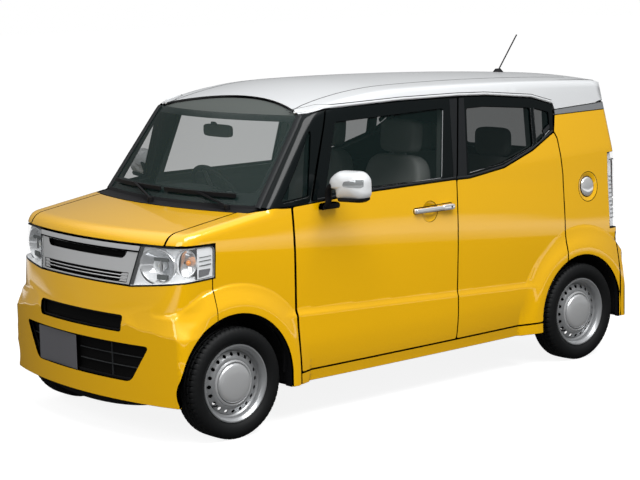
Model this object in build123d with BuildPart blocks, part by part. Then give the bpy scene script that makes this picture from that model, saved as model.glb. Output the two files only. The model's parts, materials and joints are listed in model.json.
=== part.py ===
from build123d import *
import os
from math import asin, tan

# Kei car: a tall box body with four hinged doors, a bonnet, a tailgate and steered front wheels.
# Millimetres. +X is forward, +Y the car's left, +Z up. The origin is on the ground, midway along
# the body. Left-hand pieces are drawn and the right-hand ones are their mirror images.

# ---------------------------------------------------------------- driving dimensions
half_length = 1697.5
half_width = 737.5            # over the wheel arch flares
roof_height = 1670
front_axle = 1252.5
wheelbase = 2520
rear_axle = front_axle - wheelbase
half_track = 652.5
tyre_radius = 278.5
tyre_width = 155
rim_radius = 178              # bead seat of a 14 inch wheel
sill_height = 195
bumper_height = 212
shut_gap = 8                  # between outer panels
flange = 20                   # outer layer of a door, which overlaps the body
door_thickness = 100
frame_thickness = 60          # window frames and pillars
belt_height = 1110
front_arch = 345
rear_arch = 330
steering_lock = 33

# Barrel of the body side: the section is swept along a far arc seen from above.
barrel = 40000
side_y = 727
side_section = [(690, sill_height), (714, 310), (728, 410), (729, 1000), (715, 1137), (657, 1540),
                (622, 1780)]
crease_slope = 0.0792         # the shoulder crease rises to the rear
crease_height = 828           # at x = 0
bulge_slope = 0.047
bulge_height = 540

# Nose and windscreen: (distance ahead of the nose spindle, height). Tail: the same behind its own.
nose_spindle = -900
nose = half_length - nose_spindle
nose_profile = [(nose - 32, 205), (nose - 8, 320), (nose, 486), (nose, 560), (nose - 32, 772),
                (nose - 70, 1028), (2039, 1106), (1707, 1550), (1530, 1780)]
bonnet_edge_radius = 70
tail_spindle = 1502.5
tail = half_length + tail_spindle
tail_profile = [(tail - 25, bumper_height), (tail - 3, 330), (tail, 460), (tail - 6, 590), (tail - 34, 605),
                (tail - 34, 1110), (tail - 96, 1540), (tail - 85, 1600), (tail - 130, 1760)]
cowl_back, cowl_front = 2032, 2102
firewall_x = 1010

# Roof: one crown arc across, and two arcs along that meet at the highest place.
roof_peak_x = 40
front_roof_radius = 2557
rear_roof_radius = 22000
crown_half = 640
crown_drop = 33

# Side view outlines (x, z).
cant_line = [(860, 1528), (574, 1568), (68, 1576), (-357, 1571), (-577, 1562), (-938, 1526), (-1113, 1478)]
front_door_outline = [(842, 268), (864, belt_height), (742, 1130), (575, 1568), (68, 1576), (-359, 1571),
                      (-285, 1137), (-279, 820), (-273, 268)]
rear_door_outline = [(-273, 268), (-279, 820), (-285, 1137), (-359, 1571), (-577, 1562), (-938, 1526),
                     (-1108, 1480), (-1092, 1325), (-1118, 1288), (-1147, 1082), (-1147, 268)]
front_window = [(530, 1501), (-241, 1518), (-176, 1153), (645, 1155)]
rear_window = [(-412, 1506), (-374, 1159), (-640, 1190), (-905, 1262), (-915, 1474), (-560, 1506)]
quarter_window = [(-942, 1272), (-1062, 1335), (-1068, 1440), (-948, 1470)]
corner_window = [(684, 1500), (757, 1150), (935, 1132)]
filler_centre = (-1365, 992)
filler_radius = 85

# Front view outlines (y, z), left half.
lamp_outline = [(444, 972), (389, 775), (672, 805), (760, 822), (760, 972)]
lamp_rear_x = 1352
grille_outline = [(440, 972), (384, 777), (-384, 777), (-440, 972)]
slot_outline = [(353, 622), (346, 557), (-346, 557), (-353, 622)]
intake_outline = [(526, 486), (405, 320), (-405, 320), (-526, 486)]
screen_outline = [(594, 1537), (641, 1120), (-641, 1120), (-594, 1537)]
tailgate_outline = [(540, 1700), (612, 1250), (612, 612), (-612, 612), (-612, 1250), (-540, 1700)]
back_window = [(520, 1490), (560, 1150), (-560, 1150), (-520, 1490)]
bonnet_half = 585

upright = Vector(0, 0, 1)
far = 5000


# ---------------------------------------------------------------- body forms
def turned(centre, heading, half_span, outline, rounds=(), spindle=upright):
    # A closed outline of (distance from spindle, height), turned half_span degrees each way.
    start = heading.rotate(Axis((0, 0, 0), spindle), -half_span)
    plane = Plane(origin=centre, x_dir=start, z_dir=start.cross(spindle))
    with BuildPart() as form:
        with BuildSketch(plane):
            with BuildLine():
                FilletPolyline(*outline, radius=list(rounds) or [0] * len(outline), close=True)
            make_face()
        revolve(axis=Axis(centre, spindle), revolution_arc=2 * half_span)
    return form.part


def barrel_side(section, slope=0, height=0):
    # Left side form. With a slope its spindle leans, so its creases climb to the rear.
    spindle = Vector(slope, 0, 1).normalized()
    centre = Vector(0, side_y - barrel, height)
    points = [(barrel + y - side_y, z) for y, z in section]
    inner = barrel - 4000
    outline = [(inner, points[0][1])] + points + [(inner, points[-1][1])]
    return turned(centre, Vector(0, 1, 0), 2.7, outline, spindle=spindle)


def roof_form(inset):
    # Roof crown with its long side radius, swept along the front and rear roof arcs.
    peak = roof_height - inset
    edge = peak - crown_drop
    eaves = edge - 150
    halves = []
    for radius, span, turn in ((front_roof_radius, 55, 1), (rear_roof_radius, 6, -1)):
        with BuildPart() as half:
            with BuildSketch(Plane.YZ.offset(roof_peak_x)) as section:
                with BuildLine():
                    ThreePointArc((-crown_half, edge), (0, peak), (crown_half, edge))
                    Polyline((crown_half, edge), (715, eaves), (790, 1150), (790, -200), (-790, -200),
                             (-790, 1150), (-715, eaves), (-crown_half, edge))
                make_face()
                fillet(section.vertices().filter_by(lambda v: abs(v.Z - edge) < 1), 60)
            revolve(axis=Axis((roof_peak_x, 0, roof_height - radius), (0, turn, 0)), revolution_arc=span)
        halves.append(half.part)
    return joined(*halves)


def plan_form(inset, front_corner, rear_corner, width=side_y):
    # Plan outline: a slight vee at each end, which the nose and tail forms cut, and round corners.
    lean = tan(asin(517 / nose))
    side = width - inset
    front_apex = 1645.7 + 516.6 * lean - inset
    rear_apex, rear_side = -half_length - 60 + inset, -half_length - 25 + inset
    with BuildPart() as form:
        with BuildSketch(Plane.XY) as plan:
            Polygon((front_apex, 0), (front_apex - side * lean, side), (rear_side, side),
                    (rear_apex, 0), (rear_side, -side), (front_apex - side * lean, -side), align=None)
            fillet(plan.vertices().filter_by(lambda v: v.X > 0 and v.Y != 0), front_corner - inset)
            fillet(plan.vertices().filter_by(lambda v: v.X < 0 and v.Y != 0), rear_corner - inset)
        extrude(amount=2000)
    return form.part


def prism(outline, plane=Plane.XZ, reach=far, grow=0, rounds=0, both=True):
    with BuildPart() as form:
        with BuildSketch(plane) as face:
            Polygon(*outline, align=None)
            if grow:
                offset(amount=grow, kind=Kind.INTERSECTION)
            if rounds:
                fillet(face.vertices(), rounds)
        extrude(amount=reach, both=both)
    return form.part


def block(low, high):
    with BuildPart() as form:
        middle = [(a + b) / 2 for a, b in zip(low, high)]
        with Locations(Vector(*middle)):
            Box(*[b - a for a, b in zip(low, high)])
    return form.part


def common(*forms):
    with BuildPart() as result:
        add(forms[0])
        for form in forms[1:]:
            add(form, mode=Mode.INTERSECT)
    return result.part


def cut(form, *tools):
    with BuildPart() as result:
        add(form)
        for tool in tools:
            add(tool, mode=Mode.SUBTRACT)
    return result.part


def joined(*forms):
    with BuildPart() as result:
        for form in forms:
            add(form)
    return result.part


def mirrored(form):
    with BuildPart() as result:
        add(form)
        mirror(about=Plane.XZ, mode=Mode.REPLACE)
    return result.part


def body_hull(inset):
    # The whole body form, moved inwards by the inset for inner layers.
    left = barrel_side([(y - inset, z) for y, z in side_section])
    if not inset:
        shoulder = [(700, -800), (716, -300), (729, 0), (712, 310), (690, 1100)]
        swell = [(712, -500), (732, -250), (732, -30), (716, 0), (600, 200)]
        left = common(left, joined(barrel_side(shoulder, crease_slope, crease_height),
                                   barrel_side(swell, bulge_slope, bulge_height)))
    forms = []
    # Each end form moves in by the inset, and the nose also down, so that the bonnet has a thickness.
    ends = ((nose_spindle, 1, nose_profile, bonnet_edge_radius, 0.8), (tail_spindle, -1, tail_profile, 30, 0))
    for spindle_x, way, profile, round_radius, drop in ends:
        outline = [(r - inset, z - inset * drop) for r, z in profile]
        outline = [(0, profile[0][1])] + outline + [(0, profile[-1][1])]
        rounds = [0] * len(outline)
        rounds[6] = round_radius
        forms.append(turned(Vector(spindle_x, 0, 0), Vector(way, 0, 0), 180, outline, rounds))
    return common(roof_form(inset), plan_form(inset, 260, 130), *forms, left, mirrored(left))


def cabin_hull():
    # The hollow of the cabin, open below: thick doors up to the belt, thinner frames above it.
    low, high = side_y - door_thickness, frame_thickness
    section = [(low, 100), (low, belt_height - 25), (side_y - high - 10, belt_height)]
    left = barrel_side(section + [(y - high, z) for y, z in side_section[-3:]])
    screen = [(r - 45, z - 36) for r, z in nose_profile[-3:]]
    front = [(0, 100), (screen[0][0], 100)] + screen + [(0, screen[-1][1])]
    rear = [(0, 100), (tail - 95, 100), (tail - 95, belt_height), (tail - 150, 1540), (tail - 190, 1760),
            (0, 1760)]
    return common(left, mirrored(left), roof_form(30),
                  turned(Vector(nose_spindle, 0, 0), Vector(1, 0, 0), 180, front),
                  turned(Vector(tail_spindle, 0, 0), Vector(-1, 0, 0), 180, rear),
                  block((-far, -far, 0), (firewall_x, far, 1800)))


def flare(axle, opening, outer, inner_y):
    # Arch flare: a ring turned about the axle, its lip standing proud of the side.
    with BuildPart() as ring:
        with BuildSketch(Plane.XY.offset(tyre_radius)) as section:
            Polygon((axle + opening - 40, 450), (axle + opening - 40, 730), (axle + opening + 12, half_width),
                    (axle + opening + 45, half_width - 1), (axle + outer, 702), (axle + outer - 38, inner_y),
                    (axle + outer - 38, 450), align=None)
        revolve(axis=Axis((axle, 0, tyre_radius), (0, 1, 0)))
    return ring.part


def wheel_well(axle, radius, outer_y):
    with BuildPart() as well:
        with BuildSketch(Plane.XZ.offset(-380)):
            with Locations((axle, tyre_radius)):
                Circle(radius)
            with Locations((axle, tyre_radius / 2)):
                Rectangle(2 * radius, tyre_radius)
        extrude(amount=380 - outer_y)
    return well.part


def ring(inner, outer, low=0, high=2000, spindle_x=nose_spindle):
    with BuildPart() as form:
        with Locations((spindle_x, 0, low)):
            Cylinder(outer, high - low, align=(Align.CENTER, Align.CENTER, Align.MIN))
            if inner:
                Cylinder(inner, high - low, align=(Align.CENTER, Align.CENTER, Align.MIN), mode=Mode.SUBTRACT)
    return form.part


# ---------------------------------------------------------------- layers
flares = []
for axle, opening, outer in ((front_axle, front_arch, 490), (rear_axle, rear_arch, 498)):
    flares.append(flare(axle, opening, outer, 520))
corner_plan = plan_form(0, 120, 85, half_width)
jaw = prism([(400, 205), (400, 560), (500, 500), (526, 486), (669, 394), (760, 365), (760, 205)], Plane.YZ)
body = body_hull(0)
jaw_profile = [(0, bumper_height), (nose - 30.5, bumper_height), (nose - 8, 320), (nose, 486), (nose, 600), (0, 600)]
jaw_face = turned(Vector(nose_spindle, 0, 0), Vector(1, 0, 0), 180, jaw_profile)
corners = common(corner_plan, jaw, jaw_face, block((1350, 0, 0), (1750, 800, 600)))
above_sill = block((-2000, 0, 205), (2000, 800, 1200))
tail_disc = ring(0, tail - 1, spindle_x=tail_spindle)
trimmed_flares = [common(arch, corner_plan, tail_disc, above_sill) for arch in flares]
wheel_wells = [wheel_well(front_axle, front_arch, 780), wheel_well(rear_axle, rear_arch, 780)]
left_half = block((-2000, 0, 0), (2000, 800, 1800))
outer_left = cut(joined(common(body, left_half), *trimmed_flares, corners), *wheel_wells)
under_8, under_glass, under_14 = body_hull(8), body_hull(13.5), body_hull(14)
glass_face = body_hull(8.5)
under_skin, under_seal, lamp_depth = body_hull(flange), body_hull(26), body_hull(80)
glass_layer = cut(glass_face, under_glass)
cabin = cabin_hull()
wide_wells = [wheel_well(front_axle, front_arch + 12, 676), wheel_well(rear_axle, rear_arch + 12, 695)]

nodes = {}
handed = {}                   # left-hand parts that have a mirror image


def window(panel, outline, zone, plane=Plane.XZ, rounds=18):
    # A window opening in a panel, with a lip outside the glass, and the glass itself.
    pocket = common(prism(outline, plane, grow=12, rounds=rounds), under_8, zone)
    pane = common(glass_layer, zone, prism(outline, plane, grow=11, rounds=rounds))
    through = common(prism(outline, plane, rounds=rounds), zone)
    return cut(panel, pocket, through), pane


# ---------------------------------------------------------------- side doors
openings = []
for place, outline in (("front", front_door_outline), ("rear", rear_door_outline)):
    face = cut(common(outer_left, prism(outline, grow=-shut_gap / 2)), under_skin, wide_wells[1])
    core = cut(common(under_skin, left_half, prism(outline, grow=-40)), cabin, *wide_wells)
    panel = joined(face, core)
    recess = cut(common(outer_left, prism(outline, grow=shut_gap / 2)), under_seal)
    openings += [recess, prism(outline, grow=-26)]
    if place == "front":
        panel, pane = window(panel, front_window, left_half)
    else:
        panel, pane = window(panel, rear_window, left_half)
        panel, quarter = window(panel, quarter_window, left_half)
        pane = joined(pane, quarter)
    handed[place + "_door"] = panel
    handed[place + "_door_glass"] = pane

# ---------------------------------------------------------------- body side
front_zone = block((600, -far, 0), (far, far, far))
screen_tools = [common(prism(screen_outline, Plane.YZ, grow=-15, rounds=30), front_zone),
                common(cut(prism(screen_outline, Plane.YZ, rounds=40), under_14), front_zone)]
between_pillars = [(587, 1700), (594, 1537), (643, 1115), (650, 700)]
between_pillars += [(-y, z) for y, z in reversed(between_pillars)]
inside_pillars = common(prism(between_pillars, Plane.YZ), front_zone)
tailgate_hole = common(prism(tailgate_outline, Plane.YZ, grow=shut_gap / 2),
                       block((-far, -far, 0), (-1300, far, far)))
rail_line = [(x, z + 4) for x, z in cant_line]
side_region = prism([(-1720, 150), (846, 150), (868, 1108), (1130, 1108), (1130, 1500)] + rail_line
                    + [(-1118, 1450), (-1720, 1466)])
hinge_pillar = joined(common(under_seal, left_half, block((840, 0, 205), (925, 800, 1108))),
                      common(under_skin, left_half, block((876, 0, 205), (925, 800, 1100))))
hinge_pillar = cut(hinge_pillar, cabin, wide_wells[0])
rear_cuts = [block((-1720, 0, 0), (-1598, 800, 705)), block((-1720, 0, 0), (-1100, 560, 1300)),
             block((-1100, 0, 1300), (900, 590, 1700)),
             prism([(-1564, 1169), (-1552, 734), (-1720, 734), (-1720, 1169)])]
body_side = cut(common(outer_left, side_region), cabin, inside_pillars, tailgate_hole, *rear_cuts)
body_side = cut(joined(body_side, hinge_pillar), *openings, wide_wells[1])
body_side, corner_pane = window(body_side, corner_window, left_half, rounds=12)
handed["corner_glass"] = corner_pane

# Round filler recess in the left side only.
with BuildPart() as filler_face:
    with BuildSketch(Plane.XZ.offset(-560)):
        with Locations(filler_centre):
            Circle(filler_radius)
    extrude(amount=-400)
with BuildPart() as filler_pocket:
    with BuildSketch(Plane.XZ.offset(-640)):
        with Locations(filler_centre):
            Circle(filler_radius + 6)
    extrude(amount=-400)
nodes["body_side_left"] = cut(body_side, filler_pocket.part)
nodes["body_side_right"] = mirrored(body_side)
nodes["filler_lid"] = cut(common(outer_left, filler_face.part), under_skin)

# ---------------------------------------------------------------- roof, glass and tailgate
roof_region = prism(rail_line + [(-1118, 1450), (-1720, 1466), (-1720, 2000), (1000, 2000), (1000, 1532)])
roof_hole = common(tailgate_hole, block((-far, -far, 0), (-1486, far, far)))
nodes["roof"] = cut(common(body, roof_region), cabin, roof_hole, *screen_tools)
nodes["windscreen"] = common(glass_layer, front_zone, prism(screen_outline, Plane.YZ, grow=-1, rounds=39))
rear_zone = block((-far, -far, 0), (-1494, far, far))
tailgate = cut(common(body, prism(tailgate_outline, Plane.YZ, grow=-shut_gap / 2), rear_zone), cabin)
nodes["tailgate"], nodes["tailgate_glass"] = window(tailgate, back_window, rear_zone, Plane.YZ, 40)

# ---------------------------------------------------------------- bonnet, wings and scuttle
bonnet_zone = block((1100, -bonnet_half, 978), (far, bonnet_half, far))
nodes["bonnet"] = cut(common(body, bonnet_zone), under_skin, ring(0, cowl_front + 5.5))
cowl_block = block((900, -641, 1000), (far, 641, 1124))
nodes["scuttle"] = cut(common(body, ring(1990, cowl_front), cowl_block), under_seal, *screen_tools)
lamp_zone = block((lamp_rear_x + 5, 300, 0), (far, 800, far))
lamp_hole = common(prism(lamp_outline, Plane.YZ), lamp_zone)
wing_region = prism([(846, 150), (867.98, 1107), (1122, 1107), (1122, 1300), (1800, 1300), (1800, 980),
                     (1353, 980), (1353, 818), (1369, 812), (1369, 150)])
wing = cut(common(outer_left, wing_region), under_skin, wide_wells[0], lamp_hole,
           block((900, -far, 974), (far, bonnet_half + 5.5, far)),
           common(ring(1900, cowl_front + 5), block((900, -644, 0), (far, 644, far))))
handed["front_wing"] = wing

# ---------------------------------------------------------------- lamps, grille and bumpers
handed["headlamp"] = cut(common(body, prism(lamp_outline, Plane.YZ, grow=-3), lamp_zone), lamp_depth)
tail_lamp_region = prism([(-1568, 1165), (-1556, 738), (-1720, 738), (-1720, 1165)])
handed["tail_lamp"] = cut(common(body, tail_lamp_region, block((-1720, 620, 0), (-1500, 800, 1200))), cabin)

bar_slot = [(330, 942), (296, 908), (-296, 908), (-330, 942)]
louvre_window = [(376, 832), (366, 790), (-366, 790), (-376, 832)]
slats = [block((1300, -410, z - 3), (1800, 410, z + 3)) for z in (818, 803)]
chrome = cut(common(body, prism(grille_outline, Plane.YZ, grow=-3), front_zone), under_seal)
louvres = cut(common(prism(louvre_window, Plane.YZ), front_zone), *slats)
nodes["grille"] = cut(chrome, common(prism(bar_slot, Plane.YZ), front_zone), louvres)
nodes["grille_back"] = cut(common(under_seal, prism(grille_outline, Plane.YZ, grow=-4), front_zone),
                           ring(0, nose - 115))

bars = [block((1300, -540, z - 4), (1800, 540, z + 4)) for z in (375, 430)]
bars += [block((1300, y - 3, 300), (1800, y + 3, 500)) for y in (-255, 255)]
intake_zone = common(prism(intake_outline, Plane.YZ, grow=-0.5), front_zone)
intake_frame = cut(intake_zone, prism(intake_outline, Plane.YZ, grow=-12))
intake_bars = common(intake_zone, joined(*bars))
grid = cut(common(under_14, joined(intake_frame, intake_bars)), under_seal)
backing = cut(common(under_seal, intake_zone), ring(0, nose - 50))
slot_blank = cut(common(under_14, prism(slot_outline, Plane.YZ, grow=-0.5), front_zone), ring(0, nose - 50))
nodes["intake_grille"] = joined(grid, backing, slot_blank)

front_holes = [common(prism(outline, Plane.YZ), front_zone)
               for outline in (grille_outline, slot_outline, intake_outline)]
bumper = cut(common(outer_left, block((1369, 0, 0), (far, 800, 974.5))), under_skin, lamp_hole, wide_wells[0],
             *front_holes)
nodes["front_bumper"] = joined(bumper, mirrored(bumper))
rear_zones = joined(block((-1720, 0, 0), (-1602, 800, 600)), block((-1720, 624, 0), (-1602, 800, 701)))
rear_part = cut(common(outer_left, rear_zones), under_skin, wide_wells[1])
nodes["rear_bumper"] = joined(rear_part, mirrored(rear_part))

# ---------------------------------------------------------------- underbody
floor_low, floor_high = 225, 265
rear_step = -880                       # the floor is higher behind here
liner_gap, liner_wall = 1, 5
front_inner, rear_inner = 404, 420     # inner sides of the wheelhouses


def arch_liner(axle, opening, inner_y, outer_y):
    # Inverted U over the wheel, closed on its inner side.
    bore = opening + liner_gap
    shells = ((bore + liner_wall, inner_y, Mode.ADD), (bore, inner_y + liner_wall, Mode.SUBTRACT))
    with BuildPart() as liner:
        for radius, low_y, mode in shells:
            with BuildSketch(Plane.XZ.offset(-low_y)):
                with Locations((axle, tyre_radius)):
                    Circle(radius)
                with Locations((axle, (floor_low + tyre_radius) / 2)):
                    Rectangle(2 * radius, tyre_radius - floor_low)
            extrude(amount=low_y - outer_y, mode=mode)
        with Locations((axle, outer_y, floor_low)):
            Box(800, 800, 400, align=(Align.CENTER, Align.CENTER, Align.MAX), mode=Mode.SUBTRACT)
    return liner.part


with BuildPart() as tower_cup:
    with Locations((front_axle - 18, 530, 600)):
        Cylinder(46, 40, align=(Align.CENTER, Align.CENTER, Align.MIN))
front_liner = joined(arch_liner(front_axle, front_arch, front_inner, 672), tower_cup.part)
rear_liner = arch_liner(rear_axle, rear_arch, rear_inner, 690)
nodes["arch_liners"] = joined(front_liner, rear_liner, mirrored(front_liner), mirrored(rear_liner))

floor_cuts = []
for axle, opening, inner_y in ((front_axle, front_arch, front_inner), (rear_axle, rear_arch, rear_inner)):
    reach_x = opening + liner_gap + liner_wall
    floor_cuts.append(block((axle - reach_x, inner_y, 0), (axle + reach_x, 800, 540)))
floor_cuts += [mirrored(tool) for tool in floor_cuts]
floor = joined(common(cabin, block((rear_step, -800, floor_low), (firewall_x, 800, floor_high))),
               common(cabin, block((rear_step - 20, -800, floor_low), (rear_step, 800, floor_high + 80))),
               common(cabin, block((-1700, -800, floor_low + 80), (rear_step, 800, floor_high + 80))))
firewall = common(cabin, block((firewall_x - 12, -800, floor_high), (firewall_x, 800, 1068)))
nodes["floor_pan"] = cut(joined(floor, firewall), *floor_cuts)

rail_y, rail_low, rail_high = 352, 380, 470
with BuildPart() as frame:
    for side in (-1, 1):
        with Locations((firewall_x + 290, side * rail_y, (rail_low + rail_high) / 2)):
            Box(580, 60, rail_high - rail_low)
        with Locations((1573, side * rail_y, 610)):
            Box(34, 50, 320)
        with Locations((front_axle, side * (rail_y - 30), 275)):
            Box(110, 44, 210)
        with BuildSketch(Plane.XY.offset(160)):
            Polygon((front_axle - 110, side * 290), (front_axle + 110, side * 290),
                    (front_axle + 24, side * 530), (front_axle - 24, side * 530), align=None)
        extrude(amount=26)
    with Locations((1573, 0, 420)):
        Box(34, 760, 130)
    with Locations((1573, 0, 755)):
        Box(34, 760, 36)
    with Locations((front_axle, 0, 188)):
        Box(170, 640, 44)
nodes["front_frame"] = frame.part

with BuildPart() as engine:
    with Locations((1230, 60, 520)):
        Box(330, 480, 420)
    chamfer(engine.edges().filter_by(Axis.Z), 40)
with BuildPart() as engine_mounts:
    with Locations((1230, 311, 425)):
        Box(60, 22, 50)
    with Locations((1230, -251, 425)):
        Box(60, 142, 50)
nodes["engine_block"] = joined(engine.part, engine_mounts.part)

with BuildPart() as beam:
    with Locations(Plane((rear_axle + 200, 0, 186), z_dir=(0, 1, 0))):
        Cylinder(28, 1060)
    for side in (-1, 1):
        with BuildSketch(Plane.XZ.offset(-side * 530)):
            Polygon((rear_axle + 360, 180), (rear_axle + 360, 214), (rear_axle + 320, 218),
                    (rear_axle + 180, 285), (rear_axle - 40, 325), (rear_axle - 40, 235),
                    (rear_axle + 180, 190), align=None)
        extrude(amount=22, both=True)
        with Locations(Plane((rear_axle, side * 593, tyre_radius), z_dir=(0, 1, 0))):
            Cylinder(30, 128)
        with Locations((rear_axle - 5, side * 490, 308)):
            Cylinder(42, 30)
nodes["rear_axle"] = beam.part

with BuildPart() as tank:
    with Locations((380, 170, 195)):
        Box(620, 560, 60)
    fillet(tank.edges().filter_by(Axis.Z), 70)
nodes["fuel_tank"] = tank.part

with BuildPart() as exhaust:
    with BuildLine() as run:
        FilletPolyline((1075, -210, 330), (1075, -210, 192), (-930, -210, 192), (-1010, -195, 262),
                       (-1160, -120, 262), (-1460, -60, 240), radius=80)
    with BuildSketch(Plane(run.line @ 0, z_dir=run.line % 0)):
        Circle(22)
    sweep()
    with Locations(Plane((-1490, -60, 240), z_dir=(0, 1, 0))):
        Cylinder(56, 440)
nodes["exhaust"] = exhaust.part

# ---------------------------------------------------------------- wheels and steering
wheel_outline = [(-62, 186), (-62, 194), (-53, 194), (-49, rim_radius), (-30, 176), (-22, 160), (12, 160),
                 (22, 176), (49, rim_radius), (53, 194), (62, 194), (62, 186), (52, 170), (27, 168), (17, 154),
                 (36, 148), (42, 120), (36, 108), (50, 103), (61, 84), (65, 0), (9, 0), (9, 112), (19, 112),
                 (19, 75), (34, 75), (34, 104), (36, 121), (31, 142), (10, 147), (-22, 153), (-50, 171)]
tyre_outline = [(42, rim_radius + 0.6), (52.5, 195.2), (74, 212), (tyre_width / 2, 236), (69, 267),
                (54, tyre_radius)]
tyre_outline += [(-s, r) for s, r in reversed(tyre_outline)]
tyre_outline += [(-62, 232), (-50, 264), (50, 264), (62, 232)]
vent_count, vent_radius, vent_circle = 20, 9, 143


def corner_wheel(axle):
    centre = (axle, half_track, tyre_radius)
    with BuildPart() as rim:
        with BuildSketch(Plane.XY.offset(tyre_radius)):
            Polygon(*[(axle + r, half_track + s) for s, r in wheel_outline], align=None)
        revolve(axis=Axis(centre, (0, 1, 0)))
        with Locations(Plane((axle, half_track + 25, tyre_radius), z_dir=(0, 1, 0))):
            with PolarLocations(vent_circle, vent_count):
                Cylinder(vent_radius, 40, align=(Align.CENTER, Align.CENTER, Align.MIN), mode=Mode.SUBTRACT)
    with BuildPart() as tyre:
        with BuildSketch(Plane.XY.offset(tyre_radius)):
            Polygon(*[(axle + r, half_track + s) for s, r in tyre_outline], align=None)
        revolve(axis=Axis(centre, (0, 1, 0)))
    return rim.part, tyre.part


handed["front_wheel"], handed["front_tyre"] = corner_wheel(front_axle)
handed["rear_wheel"], handed["rear_tyre"] = corner_wheel(rear_axle)

kingpin_y = 571                # at axle height
kingpin = Vector(-0.052, -0.1245, 0.99).normalized()


def along_kingpin(height):
    return Vector(front_axle, kingpin_y, tyre_radius) + kingpin * ((height - tyre_radius) / kingpin.Z)


with BuildPart() as knuckle:
    with Locations((front_axle, kingpin_y + 7, 252)):
        Box(56, 40, 184)
    with Locations(Plane((front_axle, kingpin_y + 45, tyre_radius), z_dir=(0, 1, 0))):
        Cylinder(42, 82)
    with Locations((front_axle + 57, kingpin_y - 6, 230)):
        Box(110, 24, 20)
    with Locations(Plane(along_kingpin(450), z_dir=kingpin)):
        Cylinder(24, 276)
    with Locations(Plane(along_kingpin(574), z_dir=kingpin)):
        Cylinder(50, 10)
    with Locations(Plane(along_kingpin(166), z_dir=kingpin)):
        Cylinder(17, 30)
handed["knuckle"] = knuckle.part

wheel_centre = Vector(520, -340, 1055)
column = Vector(-0.866, 0, 0.5)         # from the dash towards the driver
with BuildPart() as steering_wheel:
    with Locations(Plane(wheel_centre, x_dir=(0, 1, 0), z_dir=column)):
        Torus(178, 14)
        Cylinder(52, 34, align=(Align.CENTER, Align.CENTER, Align.MAX))
        with PolarLocations(0, 3, start_angle=-90):
            with Locations((105, 0, -10)):
                Box(140, 30, 12)
nodes["steering_wheel"] = steering_wheel.part

# ---------------------------------------------------------------- cabin
dash_outline = [(firewall_x - 12, 560), (firewall_x - 12, 1050), (900, 1080), (760, 1075), (700, 1020),
                (690, 900), (730, 820), (800, 700), (860, 560)]
with BuildPart() as dash:
    add(prism(dash_outline, reach=605))
    with Locations(Plane(wheel_centre - column * 140, x_dir=(0, 1, 0), z_dir=column)):
        Cylinder(34, 200)
nodes["dashboard"] = dash.part

seat_outline = [(450, 470), (470, 560), (440, 610), (60, 580), (-20, 640), (-130, 1265), (-112, 1275),
                (-118, 1430), (-175, 1445), (-215, 1420), (-205, 1262), (-150, 860), (-95, 470)]
bench_outline = [(-430, 470), (-410, 560), (-440, 600), (-800, 580), (-860, 640), (-945, 1180), (-1035, 1180),
                 (-965, 600), (-905, 470)]
with BuildPart() as seats:
    for side in (-1, 1):
        with BuildSketch(Plane.XZ.offset(-side * 335)):
            Polygon(*seat_outline, align=None)
        extrude(amount=235, both=True)
        with BuildSketch(Plane.YZ.offset(-250)):
            with Locations((side * 335, 1349)):
                Rectangle(480, 200)
                Rectangle(260, 220, mode=Mode.SUBTRACT)
        extrude(amount=300, mode=Mode.SUBTRACT)
        with Locations((190, side * 335, (floor_high + 470) / 2)):
            Box(420, 380, 470 - floor_high)
nodes["front_seats"] = seats.part
with BuildPart() as bench:
    with BuildSketch(Plane.XZ):
        Polygon(*bench_outline, align=None)
    extrude(amount=570, both=True)
    with Locations((-665, 0, (floor_high + 470) / 2)):
        Box(400, 760, 470 - floor_high)
    for side in (-1, 1):
        with Locations((-990, side * 300, 1255)):
            Box(80, 250, 170)
nodes["rear_seat"] = bench.part
with BuildPart() as inner_mirror:
    with Locations((765, 0, 1440)):
        Box(30, 230, 62)
    with Locations((800, 0, 1474)):
        Box(60, 24, 24)
nodes["inner_mirror"] = inner_mirror.part

# ---------------------------------------------------------------- outside fittings
mirror_sweep = Vector(1, 0, 0).rotate(Axis.Z, 15)      # the way the head faces
mirror_face = Plane((600, 866, 1199), x_dir=mirror_sweep.rotate(Axis.Z, 90), z_dir=mirror_sweep)
with BuildPart() as mirror_head:
    with BuildSketch(mirror_face):
        RectangleRounded(226, 154, 52)
    extrude(amount=95, taper=9)
    with Locations(mirror_face * Pos(-106, -60, 50)):
        Box(70, 90, 130, mode=Mode.SUBTRACT)
    with BuildSketch(Plane.YZ.offset(655)):
        Polygon((735, 1078), (800, 1078), (800, 1108), (776, 1140), (774, 1172), (800, 1172), (806, 1210),
                (752, 1210), (740, 1130), align=None)
    extrude(amount=45)
    with Locations((640, 745, 1092)):
        Box(110, 70, 26)
handed["door_mirror"] = cut(mirror_head.part, body)
with BuildPart() as handle:
    with BuildSketch(Plane.XZ.offset(-742)):
        with Locations((-95, 998)):
            SlotOverall(270, 30)
    extrude(amount=-14)
    with Locations((22, 730, 998), (-212, 730, 998)):
        Box(34, 26, 22)
handed["door_handle"] = cut(handle.part, body)

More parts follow.
